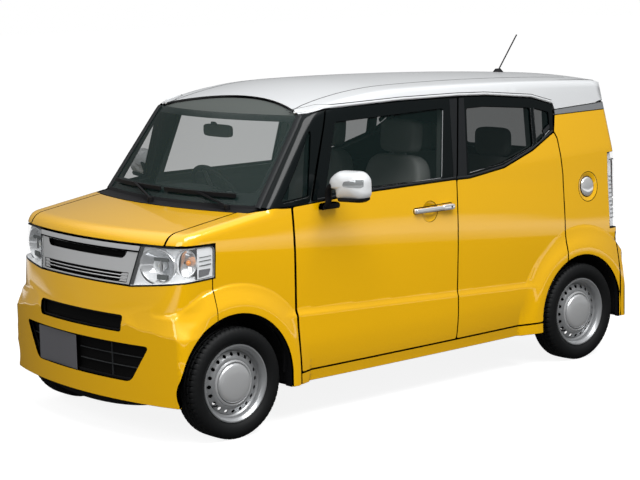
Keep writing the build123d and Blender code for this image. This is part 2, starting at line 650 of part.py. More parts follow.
# Each wiper lies on the foot of the screen: an arm from its pivot, and a blade turned with the glass.
wiper_radius, blade_radius = 2072, 2008
with BuildPart() as wipers:
    for pivot_y, blade_start, blade_end in ((-60, -60, -570), (500, 490, -20)):
        pivot = Vector(nose_spindle + (wiper_radius ** 2 - pivot_y ** 2) ** 0.5, pivot_y, 1118)
        middle_y = (blade_start + blade_end) / 2
        middle = Vector(nose_spindle + (blade_radius ** 2 - middle_y ** 2) ** 0.5, middle_y, 1170)
        with Locations(pivot - Vector(0, 0, 6)):
            Cylinder(16, 26)
        along = middle - pivot
        with Locations(Plane((pivot + middle) * 0.5, x_dir=along, z_dir=along.cross(Vector(0, 1, 0)))):
            Box(along.length, 9, 16)
        start, end = [asin(y / blade_radius) * 180 / 3.14159265 for y in (blade_start, blade_end)]
        heading = Vector(1, 0, 0).rotate(Axis((0, 0, 0), (0, 0, 1)), end)
        with BuildSketch(Plane((nose_spindle, 0, 0), x_dir=heading, z_dir=heading.cross(upright))):
            with Locations((blade_radius, 1164)):
                Rectangle(12, 20)
        revolve(axis=Axis((nose_spindle, 0, 0), (0, 0, 1)), revolution_arc=start - end)
nodes["wipers"] = cut(wipers.part, body)
with BuildPart() as antenna:
    with Locations((-1352, 0, 1634)):
        Cone(36, 16, 24)
    with Locations(Plane((-1435, 0, 1738), z_dir=(-0.619, 0, 0.785))):
        Cylinder(4, 258)
nodes["antenna"] = cut(antenna.part, body)

# ---------------------------------------------------------------- export
paired = ("corner_glass", "front_wing", "headlamp", "tail_lamp")
for name, part in handed.items():
    if name in paired:
        nodes[name + ("" if name == "corner_glass" else "s")] = joined(part, mirrored(part))
    else:
        nodes[name + "_left"] = part
        nodes[name + "_right"] = mirrored(part)

os.makedirs("parts", exist_ok=True)
for name, part in nodes.items():
    part.label = name
    export_step(part, f"parts/{name}.step")
print(len(nodes), "nodes")
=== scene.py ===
import json
import math
import bmesh
import bpy
import numpy as np
from mathutils import Vector, Matrix
from mathutils.geometry import delaunay_2d_cdt

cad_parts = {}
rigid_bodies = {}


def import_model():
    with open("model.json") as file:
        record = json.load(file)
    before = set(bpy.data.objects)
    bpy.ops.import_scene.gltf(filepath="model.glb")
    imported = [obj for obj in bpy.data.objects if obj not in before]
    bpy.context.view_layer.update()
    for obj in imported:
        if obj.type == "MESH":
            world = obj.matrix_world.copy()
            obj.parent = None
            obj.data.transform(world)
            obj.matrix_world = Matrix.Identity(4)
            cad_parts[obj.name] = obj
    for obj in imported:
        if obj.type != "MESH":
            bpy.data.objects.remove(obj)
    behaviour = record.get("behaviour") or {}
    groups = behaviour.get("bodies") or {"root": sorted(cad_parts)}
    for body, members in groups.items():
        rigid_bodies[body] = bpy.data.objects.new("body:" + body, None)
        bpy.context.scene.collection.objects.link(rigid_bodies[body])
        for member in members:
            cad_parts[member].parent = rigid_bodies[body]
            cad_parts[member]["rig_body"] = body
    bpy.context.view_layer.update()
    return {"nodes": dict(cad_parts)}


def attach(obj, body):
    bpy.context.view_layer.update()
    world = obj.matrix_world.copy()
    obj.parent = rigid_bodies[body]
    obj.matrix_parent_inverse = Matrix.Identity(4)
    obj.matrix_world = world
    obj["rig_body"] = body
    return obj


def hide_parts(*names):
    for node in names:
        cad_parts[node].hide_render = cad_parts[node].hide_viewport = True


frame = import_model()
scene = bpy.context.scene
cadNodes = frame["nodes"]

# Sizes in this script are millimetres: x forward, y to the car's left, z up. makeMesh turns them into metres.
frontAxle, rearAxle = 1252.5, -1267.5
trackHalf, tyreRadius = 652.5, 278.5
# in plan the nose and the tail are arcs about points on the middle line
noseCentre, noseReach = -900.0, 2597.5
tailCentre, tailReach = 3400.0, 5097.5
frontArch = {"x": frontAxle, "opening": 345.0, "outer": 490}
rearArch = {"x": rearAxle, "opening": 330.0, "outer": 498}
upright = np.array((0, 0, 1.0))
sides = {"left": 1, "right": -1}


def unit(v):
    # the same direction, one long
    v = np.asarray(v, float)
    return v / np.maximum(np.linalg.norm(v, axis=-1, keepdims=True), 1e-9)


def softMax(a, b, soft):
    # larger of the two, raised by up to soft/4 where they are within soft of each other
    h = np.clip(1 - np.abs(a - b) / soft, 0, 1)
    return np.maximum(a, b) + h * h * soft / 4


def softMin(a, b, soft):
    # smaller of the two, lowered in the same way
    return -softMax(-a, -b, soft)


def curve(points, t, soft=20):
    # straight between the points, averaged over a window so that corners are round
    px, py = zip(*points)
    return sum(np.interp(t + soft * k, px, py) for k in (-1, -0.67, -0.33, 0, 0.33, 0.67, 1)) / 7


# sections of the sides: height and half width, or height above a rising line and half width
sideSection = [(195, 690), (310, 714), (410, 728), (1000, 729), (1137, 715), (1540, 657), (1780, 622)]
shoulder = {"z": 828, "climb": 0.0792, "section": [(-800, 700), (-300, 715), (0, 729.5), (60, 728),
                                                   (140, 723.5), (310, 712), (1100, 690)]}
swell = {"z": 540, "climb": 0.047, "section": [(-500, 712), (-250, 732), (-30, 732), (0, 716), (200, 600)]}
# sections of the ends: height and how far in front of the plan arc
noseSection = [(205, -32), (320, -8), (486, 0), (560, 0), (772, -32), (1028, -70)]
tailSection = [(212, -25), (330, -3), (460, 0), (590, -6), (605, -22), (1110, -22), (1540, -96), (1600, -85),
               (1760, -130)]
# radius and height of the bonnet's edge, scuttle and roof
noseLine = [(2527.5, 1028), (2039, 1106), (1707, 1550)]
# the bumper's square corners, below a line of y and z
jaw = {"line": [(400, 560), (500, 500), (526, 486), (669, 394), (760, 365)], "slope": 0.4, "inner": 400,
       "rear": 1380}
roofForm = {"z": 1670, "x": 40, "frontRadius": 2557.0, "rearRadius": 22000.0, "acrossRadius": 6222.0,
            "eaves": (640, 1637), "eavesSlope": (0.894, 0.447)}
mainPlan = {"front": 260, "rear": 90, "width": 727}           # corner radii in plan and half width
squarePlan = {"front": 72, "rear": 60, "width": 737.5}        # the same of the arches and the bumper
barrel = 80000                                                # the sides curve in by x * x / barrel
# towards the lamps the front arch's lip draws in by deep, and its blend is softer, each over a distance
lipFade = {"x": 1420, "z": 540, "over": 120, "deep": 45, "softX": 1400, "softOver": 100}
# how far from their meeting line two forms are blended
blends = {"walls": 20, "slopes": 8, "nose": 70, "ends": 10, "corners": 40, "eaves": 30, "roof": 24, "lip": 10,
          "arch": 14, "archFront": 30, "jawTop": 24, "jawFront": 20, "jaw": 34}


def sideWidth(x, z):
    # half width: the upright section, less the hollow between the shoulder crease and the lower swell
    upper = curve(shoulder["section"], z - shoulder["z"] - shoulder["climb"] * x, 5)
    lower = curve(swell["section"], z - swell["z"] - swell["climb"] * x, 9)
    return softMin(curve(sideSection, z, 34), softMax(upper, lower, 8), 3) - x * x / barrel


def corner(x, y, apex, lean, radius, width):
    # plan corner: the side line and the leaning end line, joined by an arc
    c, s = math.cos(lean), math.sin(lean)
    end = x * c + y * s - apex * c
    side = y - width
    cy = width - radius
    cx = (apex * c - radius - cy * s) / c
    vx, vy = x - cx, y - cy
    inCorner = (vx > 0) & (vy * c - vx * s > 0)
    return np.where(inCorner, np.hypot(vx, vy) - radius, np.maximum(side, end))


# the plan's end lines: how far each leans back outwards, and where it meets the middle line
noseLean = math.asin(517 / noseReach)
noseApex = 1645.7 + 516.6 * math.tan(noseLean)
tailLean = math.atan(35 / 727)
tailApex = 1757.5


def planEdge(x, y, plan):
    # below zero inside a plan with two rounded corners
    front = corner(x, y, noseApex, noseLean, plan["front"], plan["width"])
    rear = corner(-x, y, tailApex, tailLean, plan["rear"], plan["width"])
    return np.maximum(front, rear)


def lineDistance(r, z, a, b):
    # signed distance to the right of the line from a to b
    dr, dz = b[0] - a[0], b[1] - a[1]
    return ((r - a[0]) * dz - (z - a[1]) * dr) / math.hypot(dr, dz)


def roofDistance(x, y, z):
    # height above the roof: arcs along and across, with the eaves cut at a slope
    top, across = roofForm["z"], roofForm["acrossRadius"]
    along = np.where(x > roofForm["x"], roofForm["frontRadius"], roofForm["rearRadius"])
    level = np.hypot(x - roofForm["x"], z - top + along) - along + top
    crown = level - top + across - np.sqrt(np.maximum(across ** 2 - y * y, 1))
    (eavesY, eavesZ), (slopeY, slopeZ) = roofForm["eaves"], roofForm["eavesSlope"]
    return softMax(crown, (y - eavesY) * slopeY + (level - eavesZ) * slopeZ, blends["eaves"])


def flareDistance(arch, x, y, z, squarer, rear):
    # the lip round a wheel: its half width follows the distance from the axle; it fades towards the lamps
    opening, outer = arch["opening"], arch["outer"]
    lip = [(opening - 40, 728), (opening + 12, 737.5), (opening + 45, 736), (outer, 702), (outer + 30, 560)]
    rho = np.hypot(x - arch["x"], z - tyreRadius)
    flare = softMax(y - curve(lip, rho, 7), squarer, blends["lip"])
    forward, above = (np.clip((k - lipFade[n]) / lipFade["over"], 0, 1) for k, n in ((x, "x"), (z, "z")))
    flare = flare + lipFade["deep"] * forward * above
    return np.maximum(np.maximum(flare, rear - tailReach + 1), rho - outer - 26)


def jawDistance(x, y, z, squarer, face):
    # the bumper's corners stand square below the jaw's line, and end at the nose's face
    corners = softMax(squarer, jaw["slope"] * (z - curve(jaw["line"], y, 12)), blends["jawTop"])
    corners = np.maximum(np.maximum(corners, jaw["inner"] - y), jaw["rear"] - x)
    return softMax(corners, face, blends["jawFront"])


def bodyDistance(p):
    # below zero inside the body: overlapping forms for the sides, plan, nose, tail and roof, blended
    x, y, z = p[:, 0], np.abs(p[:, 1]), p[:, 2]
    r, rear = np.hypot(x - noseCentre, y), np.hypot(x - tailCentre, y)
    squarer = planEdge(x, y, squarePlan)
    walls = softMax(y - sideWidth(x, z), planEdge(x, y, mainPlan), blends["walls"])
    slopes = softMin(lineDistance(r, z, *noseLine[:2]), lineDistance(r, z, *noseLine[1:]), blends["slopes"])
    face = r - noseReach - curve(noseSection, z, 30)
    tail = rear - tailReach - curve(tailSection, z, 10)
    walls = softMax(walls, softMax(softMax(face, slopes, blends["nose"]), tail, blends["ends"]),
                    blends["corners"])
    body = softMax(walls, roofDistance(x, y, z), blends["roof"])
    wider = blends["arch"] + blends["archFront"] * np.clip((x - lipFade["softX"]) / lipFade["softOver"], 0, 1)
    for arch in (frontArch, rearArch):
        body = softMin(body, flareDistance(arch, x, y, z, squarer, rear), wider)
    body = np.maximum(softMin(body, jawDistance(x, y, z, squarer, face), blends["jaw"]), rear - tailReach)
    return np.maximum(body, r - noseReach)


def gradient(p, step=1.6):
    # the outward direction of the body form: differences over a step each way
    return unit(np.stack([bodyDistance(p + e) - bodyDistance(p - e) for e in np.eye(3) * step], 1))


def leaving(origin, direction, near, far, depth, halvings):
    # the distance along each ray at which it leaves the form, moved inwards by depth
    # each halving keeps the half of the span that holds the face
    for _ in range(halvings):
        middle = (near + far) / 2
        outside = bodyDistance(origin + direction * middle[:, None]) > -depth
        near, far = np.where(outside, near, middle), np.where(outside, middle, far)
    return far


def reach(origin, direction, depth=0.0):
    # where each ray meets the body's face; a ray that comes back in a little further out goes on to the next
    far = leaving(origin, direction, np.zeros(len(origin)), np.full(len(origin), 1700.0), depth, 24)
    for ahead in (8.0, 25.0, 60.0) * 2:
        again = np.flatnonzero(bodyDistance(origin + direction * (far + ahead)[:, None]) < -depth - 0.5)
        if len(again):
            near = far[again] + ahead
            far[again] = leaving(origin[again], direction[again], near, near + 200, depth, 18)
    return origin + direction * far[:, None]


# A chart flattens one part of the body: rays turns flat points into rays, flatten goes the other way.
def sideChart():
    # rays leave the middle plane, straight out to the left
    def rays(q):
        o = np.zeros((len(q), 3))
        o[:, 0], o[:, 2] = q[:, 0], q[:, 1]
        return o, np.tile((0.0, 1.0, 0.0), (len(q), 1))
    return rays, lambda p: p[:, (0, 2)]


def fanChart(axis, centre, scale=600, facing=0.0):
    # rays fan out square to a line along the axis; angles are counted from the facing direction
    a, b = [i for i in range(3) if i != axis]

    def rays(q):
        o, d = np.zeros((len(q), 3)), np.zeros((len(q), 3))
        o[:, axis], o[:, a], o[:, b] = q[:, 0], centre[0], centre[1]
        d[:, a], d[:, b] = np.cos(q[:, 1] / scale + facing), np.sin(q[:, 1] / scale + facing)
        return o, d

    def flatten(p):
        turn = np.arctan2(p[:, b] - centre[1], p[:, a] - centre[0]) - facing
        return np.stack([p[:, axis], ((turn + math.pi) % (2 * math.pi) - math.pi) * scale], 1)
    return rays, flatten


def globeChart(axis, centre, scale=700):
    # rays leave one point; the axis is the globe's pole
    a, b = [i for i in range(3) if i != axis]
    c = np.array(centre, float)

    def rays(q):
        d = np.zeros((len(q), 3))
        up, turn = q[:, 0] / scale, q[:, 1] / scale
        d[:, axis] = np.sin(up)
        d[:, a], d[:, b] = np.cos(up) * np.cos(turn), np.cos(up) * np.sin(turn)
        return np.tile(c, (len(q), 1)), d

    def flatten(p):
        v = p - c
        return np.stack([np.arctan2(v[:, axis], np.hypot(v[:, a], v[:, b])) * scale,
                         np.arctan2(v[:, b], v[:, a]) * scale], 1)
    return rays, flatten


# a view's ray direction, the two axes its points are given on, and where its rays start
viewRays = {"side": ((0, 1, 0), (0, 2), (0, 0, 0)), "front": ((1, 0, 0), (1, 2), (300, 0, 0)),
            "rear": ((-1, 0, 0), (1, 2), (-700, 0, 0)), "top": ((0, 0, 1), (0, 1), (0, 0, 600))}


def resample(points, spacing, closed):
    # points along the same line, evenly spaced on each of its straights
    pts = np.array(points, float)
    if closed:
        pts = np.vstack([pts, pts[:1]])
    out = []
    for a, b in zip(pts[:-1], pts[1:]):
        n = max(1, int(np.ceil(np.linalg.norm(b - a) / spacing)))
        out.append(a + (b - a) * (np.arange(n) / n)[:, None])
    if not closed:
        out.append(pts[-1:])
    return np.vstack(out)


def onBody(view, points, depth=0.0):
    # points seen from a side, laid on the body form; those of the view "space" are there already
    if view == "space":
        return np.array(points, float)
    direction, cols, base = viewRays[view]
    pts = resample(points, 30, False) if len(points) > 1 else np.array(points, float)
    o = np.tile(np.array(base, float), (len(pts), 1))
    o[:, cols[0]], o[:, cols[1]] = pts[:, 0], pts[:, 1]
    return reach(o, np.tile(np.array(direction, float), (len(pts), 1)), depth)


def rounded(points, radius):
    # each corner of a closed outline becomes a short curve
    pts = np.array(points, float)
    radii = np.broadcast_to(radius, len(pts))
    out = []
    for i, p in enumerate(pts):
        a, b = pts[i - 1] - p, pts[(i + 1) % len(pts)] - p
        la, lb = np.linalg.norm(a), np.linalg.norm(b)
        turn = math.pi - math.acos(float(np.clip(a @ b / la / lb, -1, 1)))
        back = min(radii[i] * math.tan(turn / 2), la * 0.48, lb * 0.48)
        if back < 0.5:
            out.append(p)
            continue
        s, e = p + a / la * back, p + b / lb * back
        for t in np.linspace(0, 1, 7):
            out.append(s * (1 - t) ** 2 + p * 2 * t * (1 - t) + e * t * t)
    return out


def shrunk(points, amount):
    # a closed outline with every edge moved inwards by the same amount
    pts = np.array(points, float)
    nxt = np.roll(pts, -1, 0)
    area = np.sum(pts[:, 0] * nxt[:, 1] - nxt[:, 0] * pts[:, 1])
    edge = nxt - pts
    edge /= np.linalg.norm(edge, axis=1, keepdims=True)
    inward = np.stack([-edge[:, 1], edge[:, 0]], 1) * (1 if area > 0 else -1)
    out = []
    for i, p in enumerate(pts):
        n0, n1 = inward[i - 1], inward[i]
        out.append(p + (n0 + n1) * amount / max(1 + float(n0 @ n1), 0.3))
    return out


def arc(centre, radius, start, end, count=24):
    # (centre + radius * cos t, centre + radius * sin t), t in degrees from start to end
    t = np.radians(np.linspace(start, end, count))
    return [(centre[0] + radius * math.cos(k), centre[1] + radius * math.sin(k)) for k in t]


def insideOf(loops, q):
    # true where a line to the right crosses the loops an odd number of times
    inside = np.zeros(len(q), bool)
    for loop in loops:
        a, b = loop, np.roll(loop, -1, 0)
        up = (a[:, 1] > q[:, 1, None]) != (b[:, 1] > q[:, 1, None])
        with np.errstate(divide="ignore", invalid="ignore"):
            cross = a[:, 0] + (q[:, 1, None] - a[:, 1]) * (b[:, 0] - a[:, 0]) / (b[:, 1] - a[:, 1])
        inside ^= (np.sum(up & (q[:, 0, None] < cross), 1) % 2).astype(bool)
    return inside


def sheetOf(loops, step, features=()):
    # triangles filling the flat loops: edge points, a grid, and points along the feature lines
    points, edges = [], []
    for loop in loops:
        start = sum(len(k) for k in points)
        edges += [(start + i, start + (i + 1) % len(loop)) for i in range(len(loop))]
        points.append(loop)
    fixed = np.vstack(points)
    low, high = fixed.min(0), fixed.max(0)
    gx, gy = np.meshgrid(np.arange(low[0], high[0], step), np.arange(low[1], high[1], step * 0.87))
    gx[1::2] += step / 2
    grid = np.stack([gx.ravel(), gy.ravel()], 1)

    def clear(q, others, gap):
        # the points that keep a gap from the others
        keep = np.ones(len(q), bool)
        for k in range(0, len(q), 2000):
            d = np.abs(q[k:k + 2000, None, 0] - others[:, 0]) + np.abs(q[k:k + 2000, None, 1] - others[:, 1])
            keep[k:k + 2000] = d.min(1) > gap
        return q[keep]
    for line in features:
        line = line[insideOf(loops, line)]
        if len(line):
            line = clear(line, fixed, 4)
            fixed = np.vstack([fixed, line])
    grid = grid[insideOf(loops, grid)]
    grid = clear(grid, fixed, step * 0.7)
    q = np.vstack([fixed, grid])
    out = delaunay_2d_cdt([Vector(k) for k in q], edges, [], 0, 1e-4, True)
    verts = np.array([tuple(v) for v in out[0]])
    tris = np.array([f for f in out[2] if len(f) == 3])
    tris = tris[insideOf(loops, verts[tris].mean(1))]
    index = {old: new for new, olds in enumerate(out[3]) for old in olds}
    borders, start = [], 0
    for loop in loops:
        borders.append([index[start + i] for i in range(len(loop))])
        start += len(loop)
    return verts, tris, borders


def makeMesh(name, verts, faces, material, body="car_body", normals=None, sharp=None):
    # a piece from points in millimetres, riding on a body
    mesh = bpy.data.meshes.new(name)
    mesh.from_pydata((np.asarray(verts, float) * 0.001).tolist(), [], faces)
    mesh.validate()
    if normals is None:                       # closed or gridded pieces: weld, then face outwards
        bm = bmesh.new()
        bm.from_mesh(mesh)
        bmesh.ops.remove_doubles(bm, verts=bm.verts, dist=2e-5)
        bmesh.ops.recalc_face_normals(bm, faces=bm.faces)
        bm.to_mesh(mesh)
        bm.free()
    mesh.shade_smooth()
    if sharp:
        mesh.set_sharp_from_angle(angle=math.radians(sharp))
    if normals is not None and len(mesh.vertices) == len(normals):
        mesh.normals_split_custom_set_from_vertices(np.asarray(normals, float).tolist())
    mesh.materials.append(material)
    ob = bpy.data.objects.new(name, mesh)
    scene.collection.objects.link(ob)
    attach(ob, body)
    return ob


def rightName(name):
    # the right side's name of a left piece or body
    return name.replace("_left", "_right")


def mirroredMesh(ob, name, body):
    # the same piece on the other side, its faces turned round to point outwards again
    mesh = ob.data
    n = len(mesh.vertices)
    co = np.empty(n * 3)
    mesh.vertices.foreach_get("co", co)
    co = co.reshape(-1, 3) * (1000, -1000, 1000)
    faces = [tuple(reversed(p.vertices)) for p in mesh.polygons]
    if not mesh.has_custom_normals:
        return makeMesh(name, co, faces, mesh.materials[0], body, sharp=35)
    normals = np.empty(len(mesh.loops) * 3)
    mesh.corner_normals.foreach_get("vector", normals)
    loops = np.empty(len(mesh.loops), int)
    mesh.loops.foreach_get("vertex_index", loops)
    atVertex = np.zeros((n, 3))
    atVertex[loops] = normals.reshape(-1, 3) * (1, -1, 1)
    return makeMesh(name, co, faces, mesh.materials[0], body, atVertex)


def pair(ob, both):
    # a piece alone, or with both the left piece and its mirrored right one
    if both:
        return ob, mirroredMesh(ob, rightName(ob.name), rightName(ob["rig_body"]))
    return ob


def standFor(pieces, node):
    # the two CAD nodes of that name, left and right, are hidden; the left and right pieces show in their
    # place
    for piece, side in zip(pieces, sides):
        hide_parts(node + "_" + side)


def shell(name, loops, surface, material, body="car_body", step=16, lines=(), edge=2.5, thick=12, both=False):
    # A sheet that fills flat loops, laid on a surface. Each border rolls over and turns inwards:
    # a row at angle a stands out by edge * sin a and in by edge * (1 - cos a), then a wall of the thickness.
    flat, tris, borders = sheetOf(loops, step, lines)
    p, n = surface(flat)
    e1, e2 = p[tris[:, 1]] - p[tris[:, 0]], p[tris[:, 2]] - p[tris[:, 0]]
    flipped = np.sum(np.cross(e1, e2) * n[tris[:, 0]], 1) < 0
    tris[flipped] = tris[flipped][:, ::-1]
    verts, normals, faces, total = [p], [n], tris.tolist(), len(p)
    for hole, border in enumerate(borders):
        b = np.array(border)
        f, after = flat[b], np.roll(flat[b], -1, 0)
        along = after - np.roll(f, 1, 0)
        away = np.stack([along[:, 1], -along[:, 0]], 1)
        if (np.sum(f[:, 0] * after[:, 1] - after[:, 0] * f[:, 1]) < 0) != (hole > 0):
            away = -away
        out = surface(f + unit(away))[0] - p[b]
        out = unit(out - n[b] * np.sum(out * n[b], 1, keepdims=True))
        t = p[np.roll(b, -1)] - p[np.roll(b, 1)]
        rows = [b]
        for angle in (0.55, 1.1, math.pi / 2, None):
            if angle is None:
                q, m = p[b] + out * edge - n[b] * (edge + thick), out
            else:
                q = p[b] + out * edge * math.sin(angle) - n[b] * edge * (1 - math.cos(angle))
                m = n[b] * math.cos(angle) + out * math.sin(angle)
            rows.append(np.arange(total, total + len(b)))
            verts.append(q)
            normals.append(m)
            total += len(b)
        sign = np.sum(np.cross(t, out) * n[b], 1).mean() > 0
        for r0, r1 in zip(rows[:-1], rows[1:]):
            a0, a1, c0, c1 = r0, np.roll(r0, -1), r1, np.roll(r1, -1)
            faces += np.stack([a0, c0, c1, a1] if sign else [a0, a1, c1, c0], 1).tolist()
    return pair(makeMesh(name, np.vstack(verts), faces, material, body, np.vstack(normals)), both)


def panel(name, outline, chart, material, body="car_body", holes=(), depth=0.0, step=16, features=(),
          edge=2.0, thick=12, spacing=9, both=False, soft=1.6):
    # a shell cut from the body form; its outline comes from points seen from a side, laid on the form
    rays, flatten = chart

    def surface(q):
        o, d = rays(q)
        p = reach(o, d, depth)
        return p, gradient(p, soft)
    loops = []
    for shape in (outline, *holes):
        flat = np.vstack([flatten(onBody(view, pts, depth)) for view, pts in shape])
        flat = flat[np.linalg.norm(flat - np.roll(flat, 1, 0), axis=1) > 0.5]
        loops.append(resample(flat, spacing, True))
    lines = [flatten(onBody(view, resample(pts, 8, False))) for view, pts in features]
    return shell(name, loops, surface, material, body, step, lines, edge, thick, both)


def plate(name, outline, origin, u, v, material, body="car_body", holes=(), step=20, edge=2, thick=6,
          both=False, dome=0.0, size=100.0, spacing=8):
    # a flat shell: q goes to origin + q0 * u + q1 * v, domed by a parabola of that size
    u, v = unit(u), unit(v)
    n = unit(np.cross(u, v))

    def surface(q):
        bulge = dome * (1 - (q[:, 0] ** 2 + q[:, 1] ** 2) / size ** 2)
        p = np.asarray(origin, float) + q[:, :1] * u + q[:, 1:] * v + bulge[:, None] * n
        slope = 2 * dome / size ** 2
        return p, unit(n + q[:, :1] * slope * u + q[:, 1:] * slope * v)
    loops = [resample(k, spacing, True) for k in (outline, *holes)]
    return shell(name, loops, surface, material, body, step, (), edge, thick, both)


def gridMesh(name, grid, material, body="car_body", wrap=(False, False), capped=False, both=False,
             sharp=None):
    # quads over a grid of points; a wrapped way closes on itself, and a capped one gets a lid at each end
    rows, cols = grid.shape[:2]
    index = np.arange(rows * cols).reshape(rows, cols)
    ends = [index[0, ::-1].tolist(), index[-1].tolist()]
    if wrap[0]:
        index = np.vstack([index, index[:1]])
    if wrap[1]:
        index = np.hstack([index, index[:, :1]])
    quads = np.stack([index[:-1, :-1], index[1:, :-1], index[1:, 1:], index[:-1, 1:]], -1)
    faces = quads.reshape(-1, 4).tolist()
    if capped:
        faces += ends
    return pair(makeMesh(name, grid.reshape(-1, 3), faces, material, body, sharp=sharp), both)


def lathe(name, profile, centre, axis, material, body="car_body", count=64, both=False, sharp=35,
          squeeze=1.0):
    # surface of revolution: (s, r) goes to centre + s * axis + r * (cos t * u + sin t * v), t once round
    axis = unit(axis)
    u = unit(np.cross(axis, (0, 0, 1) if abs(axis[2]) < 0.9 else (1, 0, 0)))
    v = np.cross(axis, u)
    s, r = np.array(profile, float).T
    t = np.arange(count) * 2 * math.pi / count
    ring = np.cos(t)[:, None] * u * squeeze + np.sin(t)[:, None] * v
    grid = np.asarray(centre, float) + s[:, None, None] * axis + r[:, None, None] * ring
    return gridMesh(name, grid, material, body, (False, True), both=both, sharp=sharp)


def pebble(name, centre, half, material, body="car_body", power=0.4, turn=None, shape=None, both=False,
           fine=28):
    # rounded block: x = a * c(u)^p * c(v)^p, y = b * c(u)^p * s(v)^p, z = c * s(u)^p, powers keep the sign
    def spread(k):
        return np.sign(k) * np.abs(k) ** power
    u = np.linspace(-math.pi / 2, math.pi / 2, fine)[:, None]
    v = np.arange(2 * fine)[None] * math.pi / fine
    grid = np.stack([half[0] * spread(np.cos(u)) * spread(np.cos(v)),
                     half[1] * spread(np.cos(u)) * spread(np.sin(v)),
                     half[2] * spread(np.sin(u)) * np.ones_like(v)], -1)
    if shape:
        grid = shape(grid)
    if turn is not None:
        grid = grid @ np.asarray(turn, float)
    return gridMesh(name, grid + np.asarray(centre, float), material, body, (False, True), both=both,
                    sharp=60)


def smoothPath(points, count=12):
    # a curve through the points: each span blends with its neighbours' slopes
    p = np.array(points, float)
    m = np.gradient(p, axis=0)
    t = np.linspace(0, 1, count, endpoint=False)[:, None]
    h = (2 * t ** 3 - 3 * t ** 2 + 1, t ** 3 - 2 * t ** 2 + t, -2 * t ** 3 + 3 * t ** 2, t ** 3 - t ** 2)
    spans = [h[0] * p[i] + h[1] * m[i] + h[2] * p[i + 1] + h[3] * m[i + 1] for i in range(len(p) - 1)]
    return np.vstack(spans + [p[-1:]])


def sweep(name, path, section, material, body="car_body", up=(0, 0, 1), closed=False, both=False, sharp=35):
    # a flat section carried along a path: (a, b) goes to the path + a * side + b * up, square to the path
    path, section = np.asarray(path, float), np.asarray(section, float)
    if closed:
        t = unit(np.roll(path, -1, 0) - np.roll(path, 1, 0))
    else:
        t = unit(np.gradient(path, axis=0))
    up = np.broadcast_to(np.asarray(up, float), path.shape)
    side = unit(np.cross(t, up))
    up = np.cross(side, t)
    grid = path[:, None] + section[None, :, :1] * side[:, None] + section[None, :, 1:2] * up[:, None]
    return gridMesh(name, grid, material, body, (closed, True), not closed, both, sharp)


def disc(radius, count=12, squeeze=1.0):
    # a section of a sweep: (radius * cos t, radius * squeeze * sin t) once round
    t = np.arange(count) * 2 * math.pi / count
    return np.stack([np.cos(t) * radius, np.sin(t) * radius * squeeze], 1)


def bead(width, height, sink=2.0):
    # half an oval standing on the surface, sunk a little into it
    t = np.linspace(0, math.pi, 9)
    return np.vstack([[(width / 2, -sink)], np.stack([np.cos(t) * width / 2, np.sin(t) * height], 1),
                      [(-width / 2, -sink)]])


def ribbon(name, line, section, material, body="car_body", depth=0.0, closed=False, both=False, spacing=14):
    # a section carried along a line on the body form
    pts = np.vstack([onBody(view, q, depth) for view, q in line])
    keep = np.linalg.norm(np.diff(pts, axis=0, prepend=pts[:1] - 10), axis=1) > 0.5
    pts = resample(pts[keep], spacing, closed)
    return sweep(name, pts, section, material, body, gradient(pts), closed, both)


def material(name, colour, rough=0.5, metal=0.0, coat=0.0, alpha=1.0, grain=0.0, grainSize=300, spec=0.5,
             tint=None, coatIndex=1.5):
    # a principled finish; grain is a fine bump of noise, its strength and its size
    m = bpy.data.materials.new(name)
    m.use_nodes = True
    nodes, links = m.node_tree.nodes, m.node_tree.links
    shader = nodes["Principled BSDF"]
    values = {"Base Color": (*colour, 1), "Roughness": rough, "Metallic": metal, "Coat Weight": coat,
              "Coat Roughness": 0.03, "Coat IOR": coatIndex, "Alpha": alpha, "Specular IOR Level": spec}
    if tint:
        values["Specular Tint"] = (*tint, 1)
    for key, value in values.items():
        shader.inputs[key].default_value = value
    if grain:
        kinds = ("ShaderNodeTexCoord", "ShaderNodeTexNoise", "ShaderNodeBump")
        where, noise, bump = (nodes.new(k) for k in kinds)
        noise.inputs["Scale"].default_value = grainSize
        noise.inputs["Detail"].default_value = 4
        bump.inputs["Strength"].default_value = grain
        bump.inputs["Distance"].default_value = 0.001
        links.new(where.outputs["Object"], noise.inputs["Vector"])
        links.new(noise.outputs["Fac"], bump.inputs["Height"])
        links.new(bump.outputs["Normal"], shader.inputs["Normal"])
    return m


yellow = material("yellowPaint", (0.88, 0.475, 0.0), 0.28, coat=1.0, tint=(1.0, 0.72, 0.05), coatIndex=1.75)
white = material("whitePaint", (0.66, 0.675, 0.69), 0.35, coat=0.4)
gloss = material("blackGloss", (0.004, 0.006, 0.0065), 0.12, spec=0.22)
matt = material("mattBlack", (0.020, 0.022, 0.024), 0.5, grain=0.2, grainSize=900, spec=0.2)
trim = material("blackTrim", (0.007, 0.007, 0.008), 0.6, grain=0.25, grainSize=900, spec=0.15)
dark = material("deepBlack", (0.003, 0.003, 0.003), 0.8, spec=0.1)
inner = material("innerGrey", (0.085, 0.095, 0.09), 0.7, spec=0.1)
band = material("bandBlack", (0.013, 0.0145, 0.016), 0.45, spec=0.2)
greyStrip = material("greyStrip", (0.27, 0.28, 0.29), 0.4, 0.3)
lineGrey = material("revealGrey", (0.33, 0.34, 0.35), 0.35, 0.4)
chrome = material("chrome", (0.86, 0.87, 0.88), 0.09, 0.62)
satin = material("satinSilver", (0.55, 0.56, 0.57), 0.30, 0.9)
mirrorFace = material("mirrorFace", (0.8, 0.82, 0.84), 0.02, 1.0)
steelPaint = material("wheelSilver", (0.36, 0.37, 0.38), 0.33, 0.55, 0.3)
capSilver = material("capSilver", (0.60, 0.61, 0.62), 0.28, 0.5, 0.3)
rubber = material("rubber", (0.006, 0.0065, 0.007), 0.6, grain=0.3, grainSize=700, spec=0.2)
